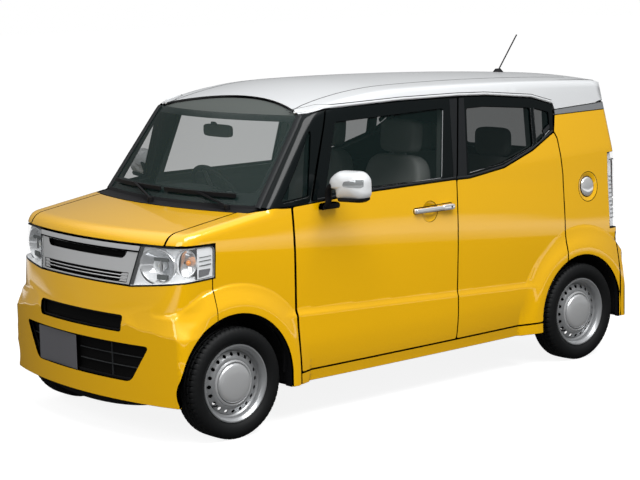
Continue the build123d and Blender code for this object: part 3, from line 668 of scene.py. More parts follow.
iron = material("iron", (0.06, 0.06, 0.062), 0.6, 0.4, grain=0.3, grainSize=200)
under = material("underbody", (0.012, 0.012, 0.013), 0.7, grain=0.3, grainSize=250, spec=0.2)
screenGlass = material("screenGlass", (0.022, 0.044, 0.040), 0.02, alpha=0.42, spec=0.45)
sideGlass = material("sideGlass", (0.010, 0.022, 0.021), 0.02, alpha=0.42, spec=0.3)
darkGlass = material("darkGlass", (0.004, 0.009, 0.009), 0.02, alpha=0.70, spec=0.3)
lens = material("clearLens", (0.85, 0.88, 0.90), 0.02, alpha=0.10, coat=0.2, spec=0.3)
reflector = material("lampReflector", (0.86, 0.88, 0.90), 0.12, 0.7)
lampWhite = material("lampWhite", (0.88, 0.90, 0.92), 0.25, 0.1)
bulbGrey = material("signalLens", (0.42, 0.44, 0.45), 0.1, 0.6)
bulbGlass = material("bulbGlass", (0.75, 0.76, 0.70), 0.05, alpha=0.7)
fabric = material("seatFabric", (0.36, 0.375, 0.36), 0.9, grain=0.5, grainSize=1200, spec=0.2)
dashGrey = material("dashGrey", (0.045, 0.055, 0.053), 0.6, grain=0.3, grainSize=800, spec=0.2)
amber = material("amberBulb", (0.85, 0.28, 0.02), 0.25)
redLens = material("redLens", (0.42, 0.008, 0.010), 0.1, coat=0.6)
plateGrey = material("plateGrey", (0.115, 0.115, 0.125), 0.45, spec=0.3)
barGrey = material("barGrey", (0.045, 0.048, 0.05), 0.4, 0.3, spec=0.2)
print("materials")

sideView = sideChart()
shutHalf = 4.2
dish = {"x": -74, "z": 986, "radius": 57, "deep": 11}         # finger room behind the door handle
filler = {"x": -1365, "z": 992, "radius": 83, "cap": 55}


def creases(x0, x1):
    # rows of points beside the shoulder crease and the lower swell, which climb to the rear
    rows = [(shoulder, off) for off in (-7, -2.5, 2.5, 7)] + [(swell, off) for off in (-34, -24, -14, -4, 6)]
    return [("side", [(x, form["z"] + form["climb"] * x + off) for x in (x0, x1)]) for form, off in rows]


def archLines(arch, start, end):
    # rows of points round a wheel arch, where its lip turns
    radii = [arch["opening"] + k for k in (12, 22, 40, 50)] + [arch["outer"] - 4, arch["outer"] + 6]
    return [("side", arc((arch["x"], tyreRadius), r, start, end, 60)) for r in radii]


def hollow(middle, radius, profile):
    # the body form pressed in round a point: depth follows the distance from the middle
    rays, _ = sideView

    def surface(q):
        def place(k):
            o, d = rays(k)
            p = reach(o, d)
            r = np.hypot(k[:, 0] - middle[0], k[:, 1] - middle[1])
            return p - (0, 1, 0) * curve(profile, r, 2)[:, None]
        p, e = place(q), 0.8
        n = np.cross(place(q + (0, e)) - p, place(q + (e, 0)) - p)
        return p, unit(n * np.sign(n[:, 1:2]))
    return [resample(arc(middle, radius, 0, 354, 60), 6, True)], surface


frontDoor = shrunk([(842, 268), (864, 1108), (358, 1133), (-285, 1138), (-279, 820), (-273, 268)], shutHalf)
frontFrame = shrunk([(738, 1120), (575, 1568), (68, 1576), (-359, 1571), (-285, 1140), (358, 1136)], shutHalf)
frontPane = rounded([(530, 1501), (-241, 1518), (-176, 1153), (645, 1155)], 18)
rearDoorArch = arc((rearAxle, tyreRadius), rearArch["opening"], 67, 2, 20)[1:]
rearDoor = shrunk([(-273, 268), (-279, 820), (-285, 1136), (-385, 1134), (-657, 1165), (-902, 1239),
                   (-1095, 1326), (-1118, 1288), (-1147, 1082), (-1147, 586), *rearDoorArch, (-937.5, 268)],
                  shutHalf)
rearFrame = shrunk([(-285, 1138), (-359, 1571), (-577, 1562), (-938, 1526), (-1108, 1480), (-1094, 1328),
                    (-902, 1241), (-657, 1167), (-385, 1136)], shutHalf)
rearPane = rounded([(-412, 1506), (-374, 1159), (-640, 1190), (-905, 1262), (-915, 1474), (-560, 1506)], 18)
quarterPane = rounded([(-942, 1272), (-1062, 1335), (-1068, 1440), (-948, 1470)], 14)
dishHole = arc((dish["x"], dish["z"]), dish["radius"], 0, 354, 50)
for name, outline, holes, look, lines in (
        ("frontDoorSkin", rounded(frontDoor, 12), (dishHole,), yellow, creases(-290, 870)),
        ("frontDoorFrame", rounded(frontFrame, 8), (frontPane,), gloss, ()),
        ("rearDoorSkin", rounded(rearDoor, 10), (), yellow,
         creases(-1150, -270) + archLines(rearArch, 0, 75)),
        ("rearDoorFrame", rounded(rearFrame, 8), (rearPane, quarterPane), gloss, ())):
    door = "front_door_" if "front" in name else "rear_door_"
    panel(name + "_left", [("side", outline)], sideView, look, door + "left",
          [[("side", h)] for h in holes], features=lines, both=True)
    print(name)
# dull black bands on the door frames either side of the shut line
frontBand = [(-259, 1146), (-279, 1146), (-350, 1562), (-292, 1562)]
rearBand = [(-292, 1146), (-361, 1150), (-403, 1562), (-364, 1562)]
for name, outline, door in (("frontBand_left", frontBand, "front_door_left"),
                            ("rearBand_left", rearBand, "rear_door_left")):
    panel(name, [("side", rounded(outline, 4))], sideView, band, door, depth=-0.8, edge=0.4, thick=2,
          both=True)
loops, surface = hollow((dish["x"], dish["z"]), dish["radius"] - 0.6,
                        [(0, dish["deep"]), (34, dish["deep"] - 1), (48, 5), (57, 1.2), (70, 1.2)])
shell("handleDish_left", loops, surface, yellow, "front_door_left", 7, edge=0.3, thick=2,
      both=True)
panes, paneSheet = {}, {"depth": 7, "step": 45, "thick": 3, "edge": 0.5}
for name, outline, look, door in (("frontGlass", frontPane, sideGlass, "front_door_"),
                                  ("rearGlass", rearPane, darkGlass, "rear_door_"),
                                  ("quarterGlass", quarterPane, darkGlass, "rear_door_")):
    panes[name] = panel(name + "_left", [("side", shrunk(outline, -6))], sideView, look, door + "left",
                        both=True, **paneSheet)
standFor(panes["frontGlass"], "front_door_glass")
standFor(panes["rearGlass"], "rear_door_glass")

sill = [(841, 209), (842, 262), (-932, 262), (-933, 209)]
panel("sill_left", [("side", sill)], sideView, yellow, both=True)

pillarChart = fanChart(2, (400, 300))
pillar = [("side", [(748, 1127), (582, 1563)]), ("front", [(606, 1545), (601, 1532), (649, 1118)]),
          ("side", [(1000, 1112), (872, 1112), (752, 1122)])]
cornerPane = rounded([(684, 1500), (757, 1150), (935, 1132)], 14)
panel("pillarSkin_left", pillar, pillarChart, gloss, holes=[[("side", cornerPane)]], both=True)
cornerGlass = panel("cornerGlass_left", [("side", shrunk(cornerPane, -6))], sideView, sideGlass, both=True,
                    **paneSheet)
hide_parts("corner_glass")
print("pillars")

wingChart = globeChart(2, (1150, 250, 600))
wing = [("side", [(851, 209), (873, 1101)]),
        ("top", [(1105, 650), (1120, 592), (1560, 592)]),
        ("front", [(592, 984), (640, 984)]),
        ("side", [(1540, 984), (1346, 984), (1350, 818), (1364, 808), (1365.5, 612)]),
        ("side", arc((frontAxle, tyreRadius), 350, 71, 180, 40) + [(903, 209)])]
panel("wingSkin_left", wing, wingChart, yellow, features=archLines(frontArch, 0, 185) + creases(846, 1369),
      step=14, soft=4, both=True)
print("wings")

quarterChart = fanChart(2, (-1300, 300))
quarterEdge = [("side", [(-1152, 590), (-1152, 1082), (-1123, 1290), (-1100, 1330), (-1120, 1417)]),
               ("side", [(-1120, 1417), (-1500, 1419)]),
               ("rear", [(640, 1419), (592, 1419), (618, 1245), (618, 1174)]),
               ("rear", [(640, 1174)]),
               ("side", [(-1600, 1174), (-1547, 1174), (-1547, 729), (-1600, 729)]),
               ("rear", [(660, 729), (618, 729), (618, 708), (660, 708)]),
               ("side", [(-1595, 705), (-1593, 209)]),
               ("side", [(-1591, 209), *arc((rearAxle, tyreRadius), 335, 191, 70, 40)])]
fillerHole = [("side", arc((filler["x"], filler["z"]), filler["radius"] + 4, 0, 352, 45))]
quarterLines = archLines(rearArch, 60, 190) + creases(-1600, -1150)
panel("quarterSkin_left", quarterEdge, quarterChart, yellow, holes=[fillerHole], features=quarterLines,
      step=14, soft=3)
# the right side has no filler lid: a whole panel is made on the left, mirrored and removed
wholeQuarter = panel("wholeQuarter", quarterEdge, quarterChart, yellow, features=quarterLines, step=14,
                     soft=3)
mirroredMesh(wholeQuarter, "quarterSkin_right", "car_body")
bpy.data.objects.remove(wholeQuarter)
loops, surface = hollow((filler["x"], filler["z"]), filler["radius"],
                        [(0, 12), (57, 12), (62, 8), (80, 1), (90, 0)])
fillerLid = shell("fillerLid", loops, surface, yellow, "filler_lid", 7, edge=2, thick=8)
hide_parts("filler_lid")
capMiddle = reach(np.array([[filler["x"], 0, filler["z"]]]), np.array([[0, 1.0, 0]]))[0]
capOut = gradient(capMiddle[None])[0]
lathe("fillerCap", [(-12, 0), (-12, 55), (-6, 55), (-2.5, 52), (0.5, 44), (2.6, 30), (3.4, 14), (3.6, 0)],
      capMiddle, capOut, chrome, "filler_lid")
lathe("fillerCapRim", [(-12, 55.5), (-12, 60), (-8, 60), (-7, 58), (-8, 55.5)], capMiddle, capOut, trim,
      "filler_lid")
strip = [("side", [(-1121, 1422), (-1122, 1447), (-1500, 1459)]),
         ("rear", [(640, 1461), (586, 1461), (592, 1424), (640, 1424)]), ("side", [(-1500, 1424)])]
panel("pillarStrip_left", strip, quarterChart, greyStrip, both=True)
print("quarters")

roofChart = globeChart(0, (-350, 0, 700))
cant = [(700, 1549), (574, 1573), (68, 1581), (-357, 1576), (-577, 1567), (-938, 1531)]
roofLeft = [("side", cant + [(-1113, 1484), (-1123, 1452), (-1500, 1464)]),
            ("rear", [(640, 1466), (582, 1466), (558, 1610)]), ("top", [(-1485, 540), (-1485, 0)])]


def bothSides(left, depth=0.0):
    # the loop of a piece across the middle: its left edge, then the same mirrored
    pts = np.vstack([onBody(view, pts, depth) for view, pts in left])
    return [("space", np.vstack([pts, (pts * (1, -1, 1))[::-1]]))]


panel("roofSkin", bothSides(roofLeft), roofChart, white, step=22, spacing=12)
bonnetChart = fanChart(1, (1150, 700))
rearArc = [(noseCentre + math.sqrt(2111.0 ** 2 - y * y), y) for y in np.linspace(0, 580, 14)]
bonnetLeft = [("top", rearArc + [(1560, 581)]), ("front", [(581, 986), (576, 982), (0, 982)])]
panel("bonnetSkin", bothSides(bonnetLeft), bonnetChart, yellow, "bonnet", step=18)

screenChart = fanChart(2, (0, 0))
screenLeft = [("front", [(0, 1541), (597, 1541), (606, 1500), (646, 1126), (640, 1117), (0, 1117)])]
windscreen = panel("windscreenGlass", bothSides(screenLeft), screenChart, screenGlass, depth=4, step=40,
                   spacing=20, thick=4, edge=1)
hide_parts("windscreen")
screenClear = [("front", rounded([(-560, 1512), (560, 1512), (585, 1175), (-585, 1175)], 40))]
panel("screenBorder", bothSides(screenLeft), screenChart, gloss, depth=9, step=40, spacing=14, thick=2,
      edge=0.5, holes=[screenClear])

bumperChart = fanChart(2, (1100, 0))
lampInner, lampBottom = (389, 771), (672, 801)
bumperLeft = [("front", [(0, 773), lampInner, lampBottom]),
              ("side", [(1520, 803), (1370, 813), (1370, 610)]),
              ("side", arc((frontAxle, tyreRadius), 350, 69.5, -9, 40)),
              ("side", [(1598, 211)]),
              ("front", [(600, 209), (0, 209)])]
slotHole = rounded([(362, 631), (353, 548), (-353, 548), (-362, 631)], 22)
intakeHole = rounded([(539, 495), (411, 308), (-411, 308), (-539, 495)], [16, 70, 70, 16])
panel("bumperSkin", bothSides(bumperLeft), bumperChart, yellow, step=11, thick=28, edge=1.5, soft=5,
      features=archLines(frontArch, -20, 75), holes=[[("front", slotHole)], [("front", intakeHole)]])
tailChart = fanChart(1, (-1300, 1000), facing=math.pi)
gateLower = [("rear", [(0, 618), (606, 618), (608, 622), (608, 1130), (0, 1130)])]
panel("gateSkin", bothSides(gateLower), tailChart, yellow, "tailgate", step=20)
gateUpper = [("rear", [(0, 1133), (608, 1133), (608, 1250), (572, 1475), (561, 1536), (0, 1536)])]
backPane = rounded([(520, 1490), (560, 1150), (-560, 1150), (-520, 1490)], 40)
panel("gateFrame", bothSides(gateUpper), tailChart, gloss, "tailgate", step=20, holes=[[("rear", backPane)]])
backGlass = panel("backGlass", [("rear", shrunk(backPane, -6))], tailChart, darkGlass, "tailgate", depth=7,
                  step=40, thick=3, edge=0.5)
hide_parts("tailgate_glass")
gateTop = [("rear", [(0, 1539), (561, 1539), (553, 1590)]), ("top", [(-1545, 550), (-1491, 550), (-1491, 0)])]
panel("gateTop", bothSides(gateTop), tailChart, white, "tailgate", step=16)
rearChart = fanChart(2, (-1200, 0), facing=math.pi)
rearLeft = [("rear", [(0, 599), (612, 599), (628, 603), (628, 700), (660, 700)]),
            ("side", [(-1606, 699), (-1606, 211)]), ("rear", [(600, 209), (0, 209)])]
panel("rearBumperSkin", bothSides(rearLeft), rearChart, yellow, step=14)
print("panels")

roofLine = [(709, 521), (676, 514), (618, 503), (540, 499), (400, 497), (100, 492), (-400, 470), (-900, 452),
            (-1440, 440)]
ribbon("roofLine_left", [("top", roofLine)], bead(8, 1.0), matt, both=True)
for name, above, section, look in (("dripBead_left", 7, bead(12, 4), white),
                                   ("dripLine_left", 15, bead(4, 0.8), matt)):
    ribbon(name, [("side", [(x, z + above) for x, z in cant + [(-1106, 1487)]])], section, look, both=True)
ribbon("pillarStripe_left", [("front", [(642, 1112), (636, 1160), (602, 1480), (592, 1540)])],
       bead(36, 7, 4), band, both=True, spacing=20)
reveal = [(0.0, 1.6), (1.6, 0.6), (1.6, -3), (-1.6, -3), (-1.6, 0.6)]
reveals = {"frontReveal_left": ("front_door_left", [(-236, 1506), (-174, 1160), (-178, 1154), (300, 1153),
                                                    (640, 1154)]),
           "rearReveal_left": ("rear_door_left", [(-376, 1170), (-378, 1161), (-640, 1188), (-902, 1260),
                                                  (-914, 1276), (-921, 1470)]),
           "quarterReveal_left": ("rear_door_left", [(-946, 1470), (-941, 1276), (-950, 1273),
                                                     (-1060, 1336)]),
           "cornerReveal_left": ("car_body", [(920, 1127), (764, 1144), (752, 1152)])}
for name, (body, points) in reveals.items():
    ribbon(name, [("side", points)], reveal, lineGrey, body, depth=1.5, both=True)
belts = {"frontBelt_left": ("front_door_left", [(700, 1128), (360, 1141), (-278, 1146)]),
         "rearBelt_left": ("rear_door_left", [(-286, 1145), (-386, 1143), (-655, 1174), (-900, 1249),
                                              (-1086, 1332)])}
for name, (body, points) in belts.items():
    ribbon(name, [("side", points)], bead(11, 3), matt, body, both=True)
lampSeal = [("front", [(440, 973), (385, 773), (672, 803)]), ("side", [(1525, 804), (1353, 813)]),
            ("side", [(1350.5, 950), (1353, 963), (1362, 972), (1376, 975)]),
            ("front", [(640, 975), (445, 975)])]
ribbon("lampSeal_left", lampSeal, bead(7, 1.5), gloss, closed=True, both=True)
print("lines")


def oval(centre, half, count=40):
    # (centre + half * cos t, centre + half * sin t) once round
    ring = arc((0, 0), 1, 0, 360 - 360 / count, count)
    return [(centre[0] + half[0] * x, centre[1] + half[1] * y) for x, y in ring]


def box(half, radius):
    # an upright rectangle about the origin with rounded corners
    return rounded([(half[0] * a, half[1] * b) for a, b in ((-1, -1), (1, -1), (1, 1), (-1, 1))], radius)


lampEdge = [("front", [(440, 969), (389, 778), (672, 808)]),
            ("side", [(1525, 809), (1357, 818), (1354.5, 950), (1357, 961), (1364, 968), (1376, 970)]),
            ("front", [(640, 970)])]
bowlHoles = [[("front", oval((532, 877), (112, 86)))], [("front", oval((674, 896), (26, 66)))]]
lampBack = panel("lampBack_left", lampEdge, bumperChart, lampWhite, depth=24, step=22, edge=2, thick=34,
                 holes=bowlHoles, both=True)
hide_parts("headlamps")
panel("lampLens_left", lampEdge, bumperChart, lens, depth=0.5, step=24, edge=3, thick=3, both=True)
rays, flatten = bumperChart


def lampWall(name, look, start, end):
    # the side walls of the lamp's tray, from under the lens down to its back
    flat = resample(np.vstack([flatten(onBody(view, q)) for view, q in lampEdge]), 10, True)
    o, d = rays(flat)
    grid = np.stack([reach(o, d, k) for k in np.linspace(start, end, 5)])
    return gridMesh(name, grid, look, wrap=(False, True), both=True)


lampWall("lampWall_left", lampWhite, 3, 30)


def bowl(name, form, look):
    # an oval reflector dish: (r, t) goes to centre + r * half * (cos t, sin t), back by deep * (1 - r * r)
    across, half = unit(form["across"]), form["half"]
    out = unit(np.cross(across, upright))
    dishRadii = np.linspace(0.10, 1, 14)
    r = np.concatenate([dishRadii, [1.04, 1.04]])
    back = np.concatenate([form["deep"] * (1 - dishRadii ** 2), [2, 20]])
    t = np.linspace(0, 2 * math.pi, 56, endpoint=False)
    ring = half[0] * np.cos(t)[:, None] * across + half[1] * np.sin(t)[:, None] * upright
    grid = np.array(form["centre"], float) + r[:, None, None] * ring - back[:, None, None] * out
    return gridMesh(name, grid, look, wrap=(False, True), both=True)


mainLamp = {"centre": (1571, 532, 877), "across": (-0.20, 0.98, 0), "half": (112, 84), "deep": 56}
turnLamp = {"centre": (1500, 668, 896), "across": (-0.86, 0.51, 0), "half": (52, 66), "deep": 34}
bowl("mainBowl_left", mainLamp, reflector)
bowl("turnBowl_left", turnLamp, reflector)
mainAcross, mainAt = unit(mainLamp["across"]), np.array(mainLamp["centre"], float)
mainOut = unit(np.cross(mainLamp["across"], upright))
lathe("mainCup_left", [(-50, 0), (-50, 24), (-30, 30), (-16, 34), (-12, 34), (-14, 28), (-34, 22), (-40, 0)],
      mainAt, mainOut, lampWhite, both=True, count=40)
lathe("mainBulb_left", [(-44, 0), (-44, 8), (-18, 8), (-13, 5), (-11, 0)], mainAt, mainOut, bulbGlass,
      count=24, both=True)
# a dark hood over the bulb, its post and its foot: middle and half size in the lamp's plane
for name, spot, half, look in (("lampHood_left", (-4, 34), (46, 7), dashGrey),
                               ("lampPost_left", (-6, 4), (5, 26), satin),
                               ("lampFoot_left", (0, -52), (34, 11), dashGrey)):
    at = mainAt + mainAcross * (spot[0] + 24) + upright * spot[1] - mainOut * 8
    plate(name, box(half, 4), at, mainAcross, upright, look, step=12, edge=1.5, thick=5, both=True)
turnOut = unit(np.cross(turnLamp["across"], upright))
turnAt = np.array(turnLamp["centre"], float) + unit(turnLamp["across"]) * 14
lathe("turnBulb_left", [(-36, 0), (-36, 11), (-20, 13), (-10, 11), (-5, 6), (-3, 0)], turnAt, turnOut, amber,
      count=24, both=True)
for k, (front, rear, wide) in enumerate(((921, 924, 3), (902, 905, 4), (880, 884, 5)), 1):
    ribbon("lampRib%d_left" % k, [("side", [(1438, front), (1370, rear)])], bead(wide, 2), dashGrey, depth=8,
           both=True)
panel("lampShelf_left", [("side", [(1450, 966), (1372, 966), (1360, 955), (1361, 823), (1450, 817)])],
      bumperChart, lampWhite, depth=9, step=30, edge=1.5, thick=30, both=True)
panel("lampBlock_left", [("side", rounded([(1439, 860), (1374, 861), (1386, 832), (1441, 826)], 3))],
      bumperChart, plateGrey, depth=7, step=20, edge=1, thick=4, both=True)
print("headlamps")

grillePlate = [("front", rounded([(436, 968), (382, 780), (-382, 780), (-436, 968)], 5))]
slotEnd = [(348, 946)] + arc((304, 944), 42, -5, -90, 12)
barSlot = [("front", slotEnd + [(-y, z) for y, z in slotEnd[::-1]])]
louvreHole = [("front", rounded([(370, 836), (360, 787), (-360, 787), (-370, 836)], 3))]
chromeFace = panel("grilleFace", grillePlate, bumperChart, chrome, depth=5, step=18, edge=4, thick=14,
                   holes=[barSlot, louvreHole])
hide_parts("grille")
panel("grilleBar", [("front", rounded([(437, 970), (431, 947), (-431, 947), (-437, 970)], 4))], bumperChart,
      chrome, depth=-1, step=18, edge=10, thick=6)
for z in (820, 804):
    ribbon("grilleSlat" + str(z), [("front", [(360, z), (-360, z)])],
           [(2.2, -10), (2.6, 0), (0, 1.6), (-2.6, 0), (-2.2, -10)], chrome, depth=8)
for side, sign in sides.items():
    for k, z in enumerate((828, 812, 796)):
        block = [(sign * (y - k * 5), z + up) for y, up in ((368, 5), (326, 5), (312, -5), (366, -5))]
        panel("grilleStep%d_%s" % (k, side), [("front", rounded(block, 2))], bumperChart, chrome, depth=7,
              step=20, edge=2, thick=8)
intakeBars = [((-2, 375), (440, 375)), ((-2, 430), (492, 430)), ((-440, 375), (-396, 375)),
              ((-492, 430), (-396, 430)), ((255, 318), (255, 484))]
for k, ends in enumerate(intakeBars):
    ribbon("intakeBar" + str(k), [("front", ends)], bead(4, 2, 8), barGrey, depth=24)
plateAt = {"middle": (1679, -201, 393.5), "turn": math.radians(4.4), "half": (193, 92.5)}
plateAcross = (math.sin(plateAt["turn"]), math.cos(plateAt["turn"]), 0)
plate("frontPlate", box(plateAt["half"], 5), plateAt["middle"], plateAcross, upright, plateGrey, edge=1.2,
      thick=3)
for y in (-90, 90):
    foot = np.array(plateAt["middle"]) + np.array(plateAcross) * y
    pebble("plateStay" + ("Inner" if y > 0 else "Outer"), foot - (16, 0, 0), (14, 14, 30), trim, power=0.3,
           fine=12)
# section: share of the drop, and how far back
airGuide = {"top": 222, "ends": 214, "drop": 58, "spread": 0.205, "inset": 50,
            "section": [(0, 0), (0.5, 4), (1, 12), (1, 17), (0.5, 10), (0, 6)]}
t = np.linspace(-1, 1, 61)
low = airGuide["ends"] - airGuide["drop"] * np.clip(1 - t ** 2, 0, 1) ** 0.55
share, back = np.array(airGuide["section"], float).T[:, :, None]
r = noseReach - airGuide["inset"] - back
angle = t * airGuide["spread"]
height = airGuide["top"] + (low - airGuide["top"]) * share
gridMesh("airGuide", np.stack([noseCentre + r * np.cos(angle), r * np.sin(angle), height], -1), trim,
         wrap=(True, False), sharp=40)
print("front")

wheel = {"inner": 100, "outer": 157, "holes": 20, "holeRadius": 9.5, "holeCircle": 143,
         "face": [(100, 36), (109, 37), (118, 40), (128, 38), (140, 30), (150, 26), (157, 21)]}
rimProfile = [(-62, 186), (-62, 194), (-58, 195), (-53, 193), (-50, 180), (-46, 178), (-30, 177), (-22, 162),
              (8, 160), (14, 163), (22, 175), (44, 178), (49, 180), (53, 192), (58, 195), (62, 193),
              (62, 187), (58, 183), (51, 175), (46, 172), (26, 169), (18, 157), (12, 154), (-22, 156),
              (-34, 171), (-50, 174), (-58, 184)]
capProfile = [(34, 0), (34, 96), (44, 99), (51, 96), (56, 88), (59, 74), (61, 50), (62, 24), (62.4, 0)]
brakeProfile = [(-26, 30), (-26, 120), (-20, 120), (-20, 30)]
drumProfile = [(-20, 0), (-20, 104), (6, 108), (10, 60), (10, 0)]
ringProfile = [(30, 99), (38, 100), (44, 103), (45.5, 107), (42, 113), (34, 116), (28, 110)]


tyre = {"tread": 54, "crown": 278.2, "groove": 6.5, "notch": 3.0, "around": 360,
        "wall": [(-40, 180), (-47, 181), (-52, 188), (-58, 196), (-68, 206), (-74.5, 220), (-77.5, 236),
                 (-76, 250), (-72, 260), (-67, 268), (-62, 272.5), (-58, 275)],
        "inside": [(40, 200), (62, 228), (58, 262), (-58, 262), (-62, 228), (-40, 200)]}


def tyreGrid(axle):
    # profile (s, r) round the axle; over the tread r drops in grooves along and across
    crown = [(s, tyre["crown"] - 1.4 * (s / 56) ** 2) for s in np.linspace(-tyre["tread"], tyre["tread"], 37)]
    profile = tyre["wall"] + crown + [(-s, r) for s, r in tyre["wall"][::-1]] + tyre["inside"]
    place = np.arange(tyre["around"])[None]
    t = place[0] * 2 * math.pi / tyre["around"]
    s, r = (k[:, None] for k in np.array(profile, float).T)
    r = r + 0 * t
    wide = np.abs(s)
    ribs = (np.abs(wide - 13.5) < 3.2) | (np.abs(wide - 37.5) < 2.8)
    blocks = (wide > 41) & (place % 6 == 0)
    middle = (wide > 17) & (wide < 34) & ((place + 3) % 9 == 0)
    shoulders = (wide > 57) & (wide < 68) & (r > 265) & (place % 6 == 0)
    grooves = (wide <= 56) & (r > 276) & (ribs | blocks | middle)
    r = r - tyre["groove"] * grooves - tyre["notch"] * shoulders
    return np.stack([axle + r * np.cos(t), trackHalf + s + 0 * r, tyreRadius + r * np.sin(t)], -1)


def roadWheel(end, axle):
    # the pieces of a left wheel and the mirrored right one
    centre, out = (axle, trackHalf, tyreRadius), (0, 1, 0)
    name, body = end + "Wheel", end + "_wheel_left"
    rims = lathe(name + "Rim_left", rimProfile, centre, out, steelPaint, body, 96, both=True)
    loops = [resample(arc((0, 0), wheel["outer"], 0, 357, 120), 9, True),
             resample(arc((0, 0), wheel["inner"], 0, 354, 70), 9, True)]
    for spot in arc((0, 0), wheel["holeCircle"], 0, 360 - 360 / wheel["holes"], wheel["holes"]):
        loops.append(resample(arc(spot, wheel["holeRadius"], 0, 340, 18), 5, True))

    def surface(q):
        # the disc: its height above the rim's middle follows the distance from the axle
        def place(k):
            r = np.hypot(k[:, 0], k[:, 1])
            return np.stack([axle + k[:, 0], trackHalf + curve(wheel["face"], r, 3), tyreRadius + k[:, 1]], 1)
        p = place(q)
        n = unit(np.cross(place(q + (0, 0.8)) - p, place(q + (0.8, 0)) - p))
        return p, n * np.sign(n[:, 1:2])
    shell(name + "Disc_left", loops, surface, steelPaint, body, 11, edge=0.8, thick=3.5, both=True)
    lathe(name + "Brake_left", brakeProfile, centre, out, iron, body, 48, both=True)
    lathe(name + "Drum_left", drumProfile, centre, out, dark, body, 48, both=True)
    lathe(name + "Ring_left", ringProfile, centre, out, capSilver, body, 80, both=True)
    lathe(name + "Cap_left", capProfile, centre, out, capSilver, body, 80, both=True)
    stem = smoothPath([(axle + 128, trackHalf + 24, tyreRadius - 100),
                       (axle + 122, trackHalf + 42, tyreRadius - 96),
                       (axle + 116, trackHalf + 56, tyreRadius - 92)], 6)
    sweep(name + "Valve_left", stem, disc(4.2, 10), trim, body, both=True)
    tyres = gridMesh(name + "Tyre_left", tyreGrid(axle), rubber, body, (True, True), both=True, sharp=32)
    standFor(rims, end + "_wheel")
    standFor(tyres, end + "_tyre")


roadWheel("front", frontAxle)
roadWheel("rear", rearAxle)
print("wheels")

mirror = {"at": (600, 866, 1199), "sweep": math.radians(15), "middle": (12, 10), "capDeep": 87,
          "skirtDeep": 77}
mirrorAt = np.array(mirror["at"], float)
mirrorOut = np.array((math.cos(mirror["sweep"]), math.sin(mirror["sweep"]), 0))
mirrorAcross = np.array((-mirrorOut[1], mirrorOut[0], 0))
capOutline = rounded([(-113, -12), (-74, -14), (-68, -64), (92, -64), (113, -38), (113, 44), (74, 77),
                      (-62, 77), (-113, 34)], [8, 12, 14, 40, 40, 60, 60, 80, 60])
skirtOutline = rounded([(-70, -58), (-62, -77), (78, -77), (104, -62), (104, -50)], [4, 10, 26, 14, 4])


def domed(outline, middle, deep, fullness=3.2):
    # depth over a closed outline: deep * (1 - (distance / the outline's distance) ^ 2.4) ^ (1 / fullness)
    rim = resample(np.array(outline, float) - middle, 3, True)
    angle = np.arctan2(rim[:, 1], rim[:, 0])
    order = np.argsort(angle)
    length = np.hypot(rim[:, 0], rim[:, 1])[order]
    angle = angle[order]

    def rimAt(t):
        return np.interp(t, angle, length, period=2 * math.pi)

    def depth(q):
        k = q - middle
        share = np.hypot(k[:, 0], k[:, 1]) / rimAt(np.arctan2(k[:, 1], k[:, 0]))
        return deep * np.clip(1 - share ** 2.4, 0, 1) ** (1 / fullness)
    return rimAt, depth


def inMirror(q, out):
    # flat points of the mirror's face, standing out forwards
    return mirrorAt + q[..., :1] * mirrorAcross + q[..., 1:2] * upright + out[..., None] * mirrorOut


def mirrorShell(name, outline, middle, deep, look, start):
    # rings round the middle at a ratio of the outline's distance, each as far out as the dome is there
    rimAt, depth = domed(outline, np.array(middle, float), deep)
    t = np.arange(96) * 2 * math.pi / 96
    ratio = np.concatenate([[0.94, 0.985, 1.0], np.sin(np.linspace(math.pi / 2, 0, 24)[1:]) ** 0.8])
    distance = ratio[:, None] * rimAt(t)
    q = np.array(middle, float) + distance[..., None] * np.stack([np.cos(t), np.sin(t)], -1)
    out = depth(q.reshape(-1, 2)).reshape(len(ratio), -1) + start + 2
    out[:2] = start
    return gridMesh(name, inMirror(q, out), look, "front_door_left", (False, True), both=True, sharp=50)


cap = mirrorShell("mirrorCap_left", capOutline, mirror["middle"], mirror["capDeep"], white, 3)
mirrorShell("mirrorSkirt_left", skirtOutline, (20, -62), mirror["skirtDeep"], trim, 3)
standFor(cap, "door_mirror")
_, capDepth = domed(capOutline, np.array(mirror["middle"], float), mirror["capDeep"])


def capSurface(q, lift=0.7):
    # the mirror's cap, raised by a lift; its normal is the cross product of two short steps
    def place(k):
        return inMirror(k, capDepth(k) + 5)
    p = place(q)
    n = unit(np.cross(place(q + (0.5, 0)) - p, place(q + (0, 0.5)) - p))
    return p + mirrorOut * lift, n * np.sign(n @ mirrorOut)[:, None]


signal = rounded([(-4, 6), (4, 30), (88, 42), (101, 40), (103, 8), (92, 2)], [8, 10, 4, 6, 8, 8])
shell("mirrorSignal_left", [resample(signal, 5, True)], capSurface, bulbGrey, "front_door_left", 7, edge=0.8,
      thick=2, both=True)
bezel = shrunk(rounded([(-110, -14), (-70, -18), (-62, -72), (84, -72), (108, -44), (108, 46), (72, 73),
                        (-62, 73), (-110, 32)], 24), 3)
rearOutline = [(-x, y) for x, y in bezel]
plate("mirrorBezel_left", rearOutline, mirrorAt + mirrorOut * 2, -mirrorAcross, (0, 0, 1), trim,
      "front_door_left", holes=[shrunk(rearOutline, 9)], edge=2, thick=8, both=True)
plate("mirrorGlass_left", shrunk(rearOutline, 8), mirrorAt + mirrorOut * 6, -mirrorAcross, (0, 0, 1),
      mirrorFace, "front_door_left", edge=0.5, thick=3, both=True)
arm = smoothPath([(672, 752, 1098), (674, 764, 1122), (678, 768, 1152), (684, 780, 1186), (680, 806, 1204)],
                 8)
sweep("mirrorArm_left", arm, disc(20, 16, 0.62), trim, "front_door_left", up=(0, 1, 0.2),
      both=True)
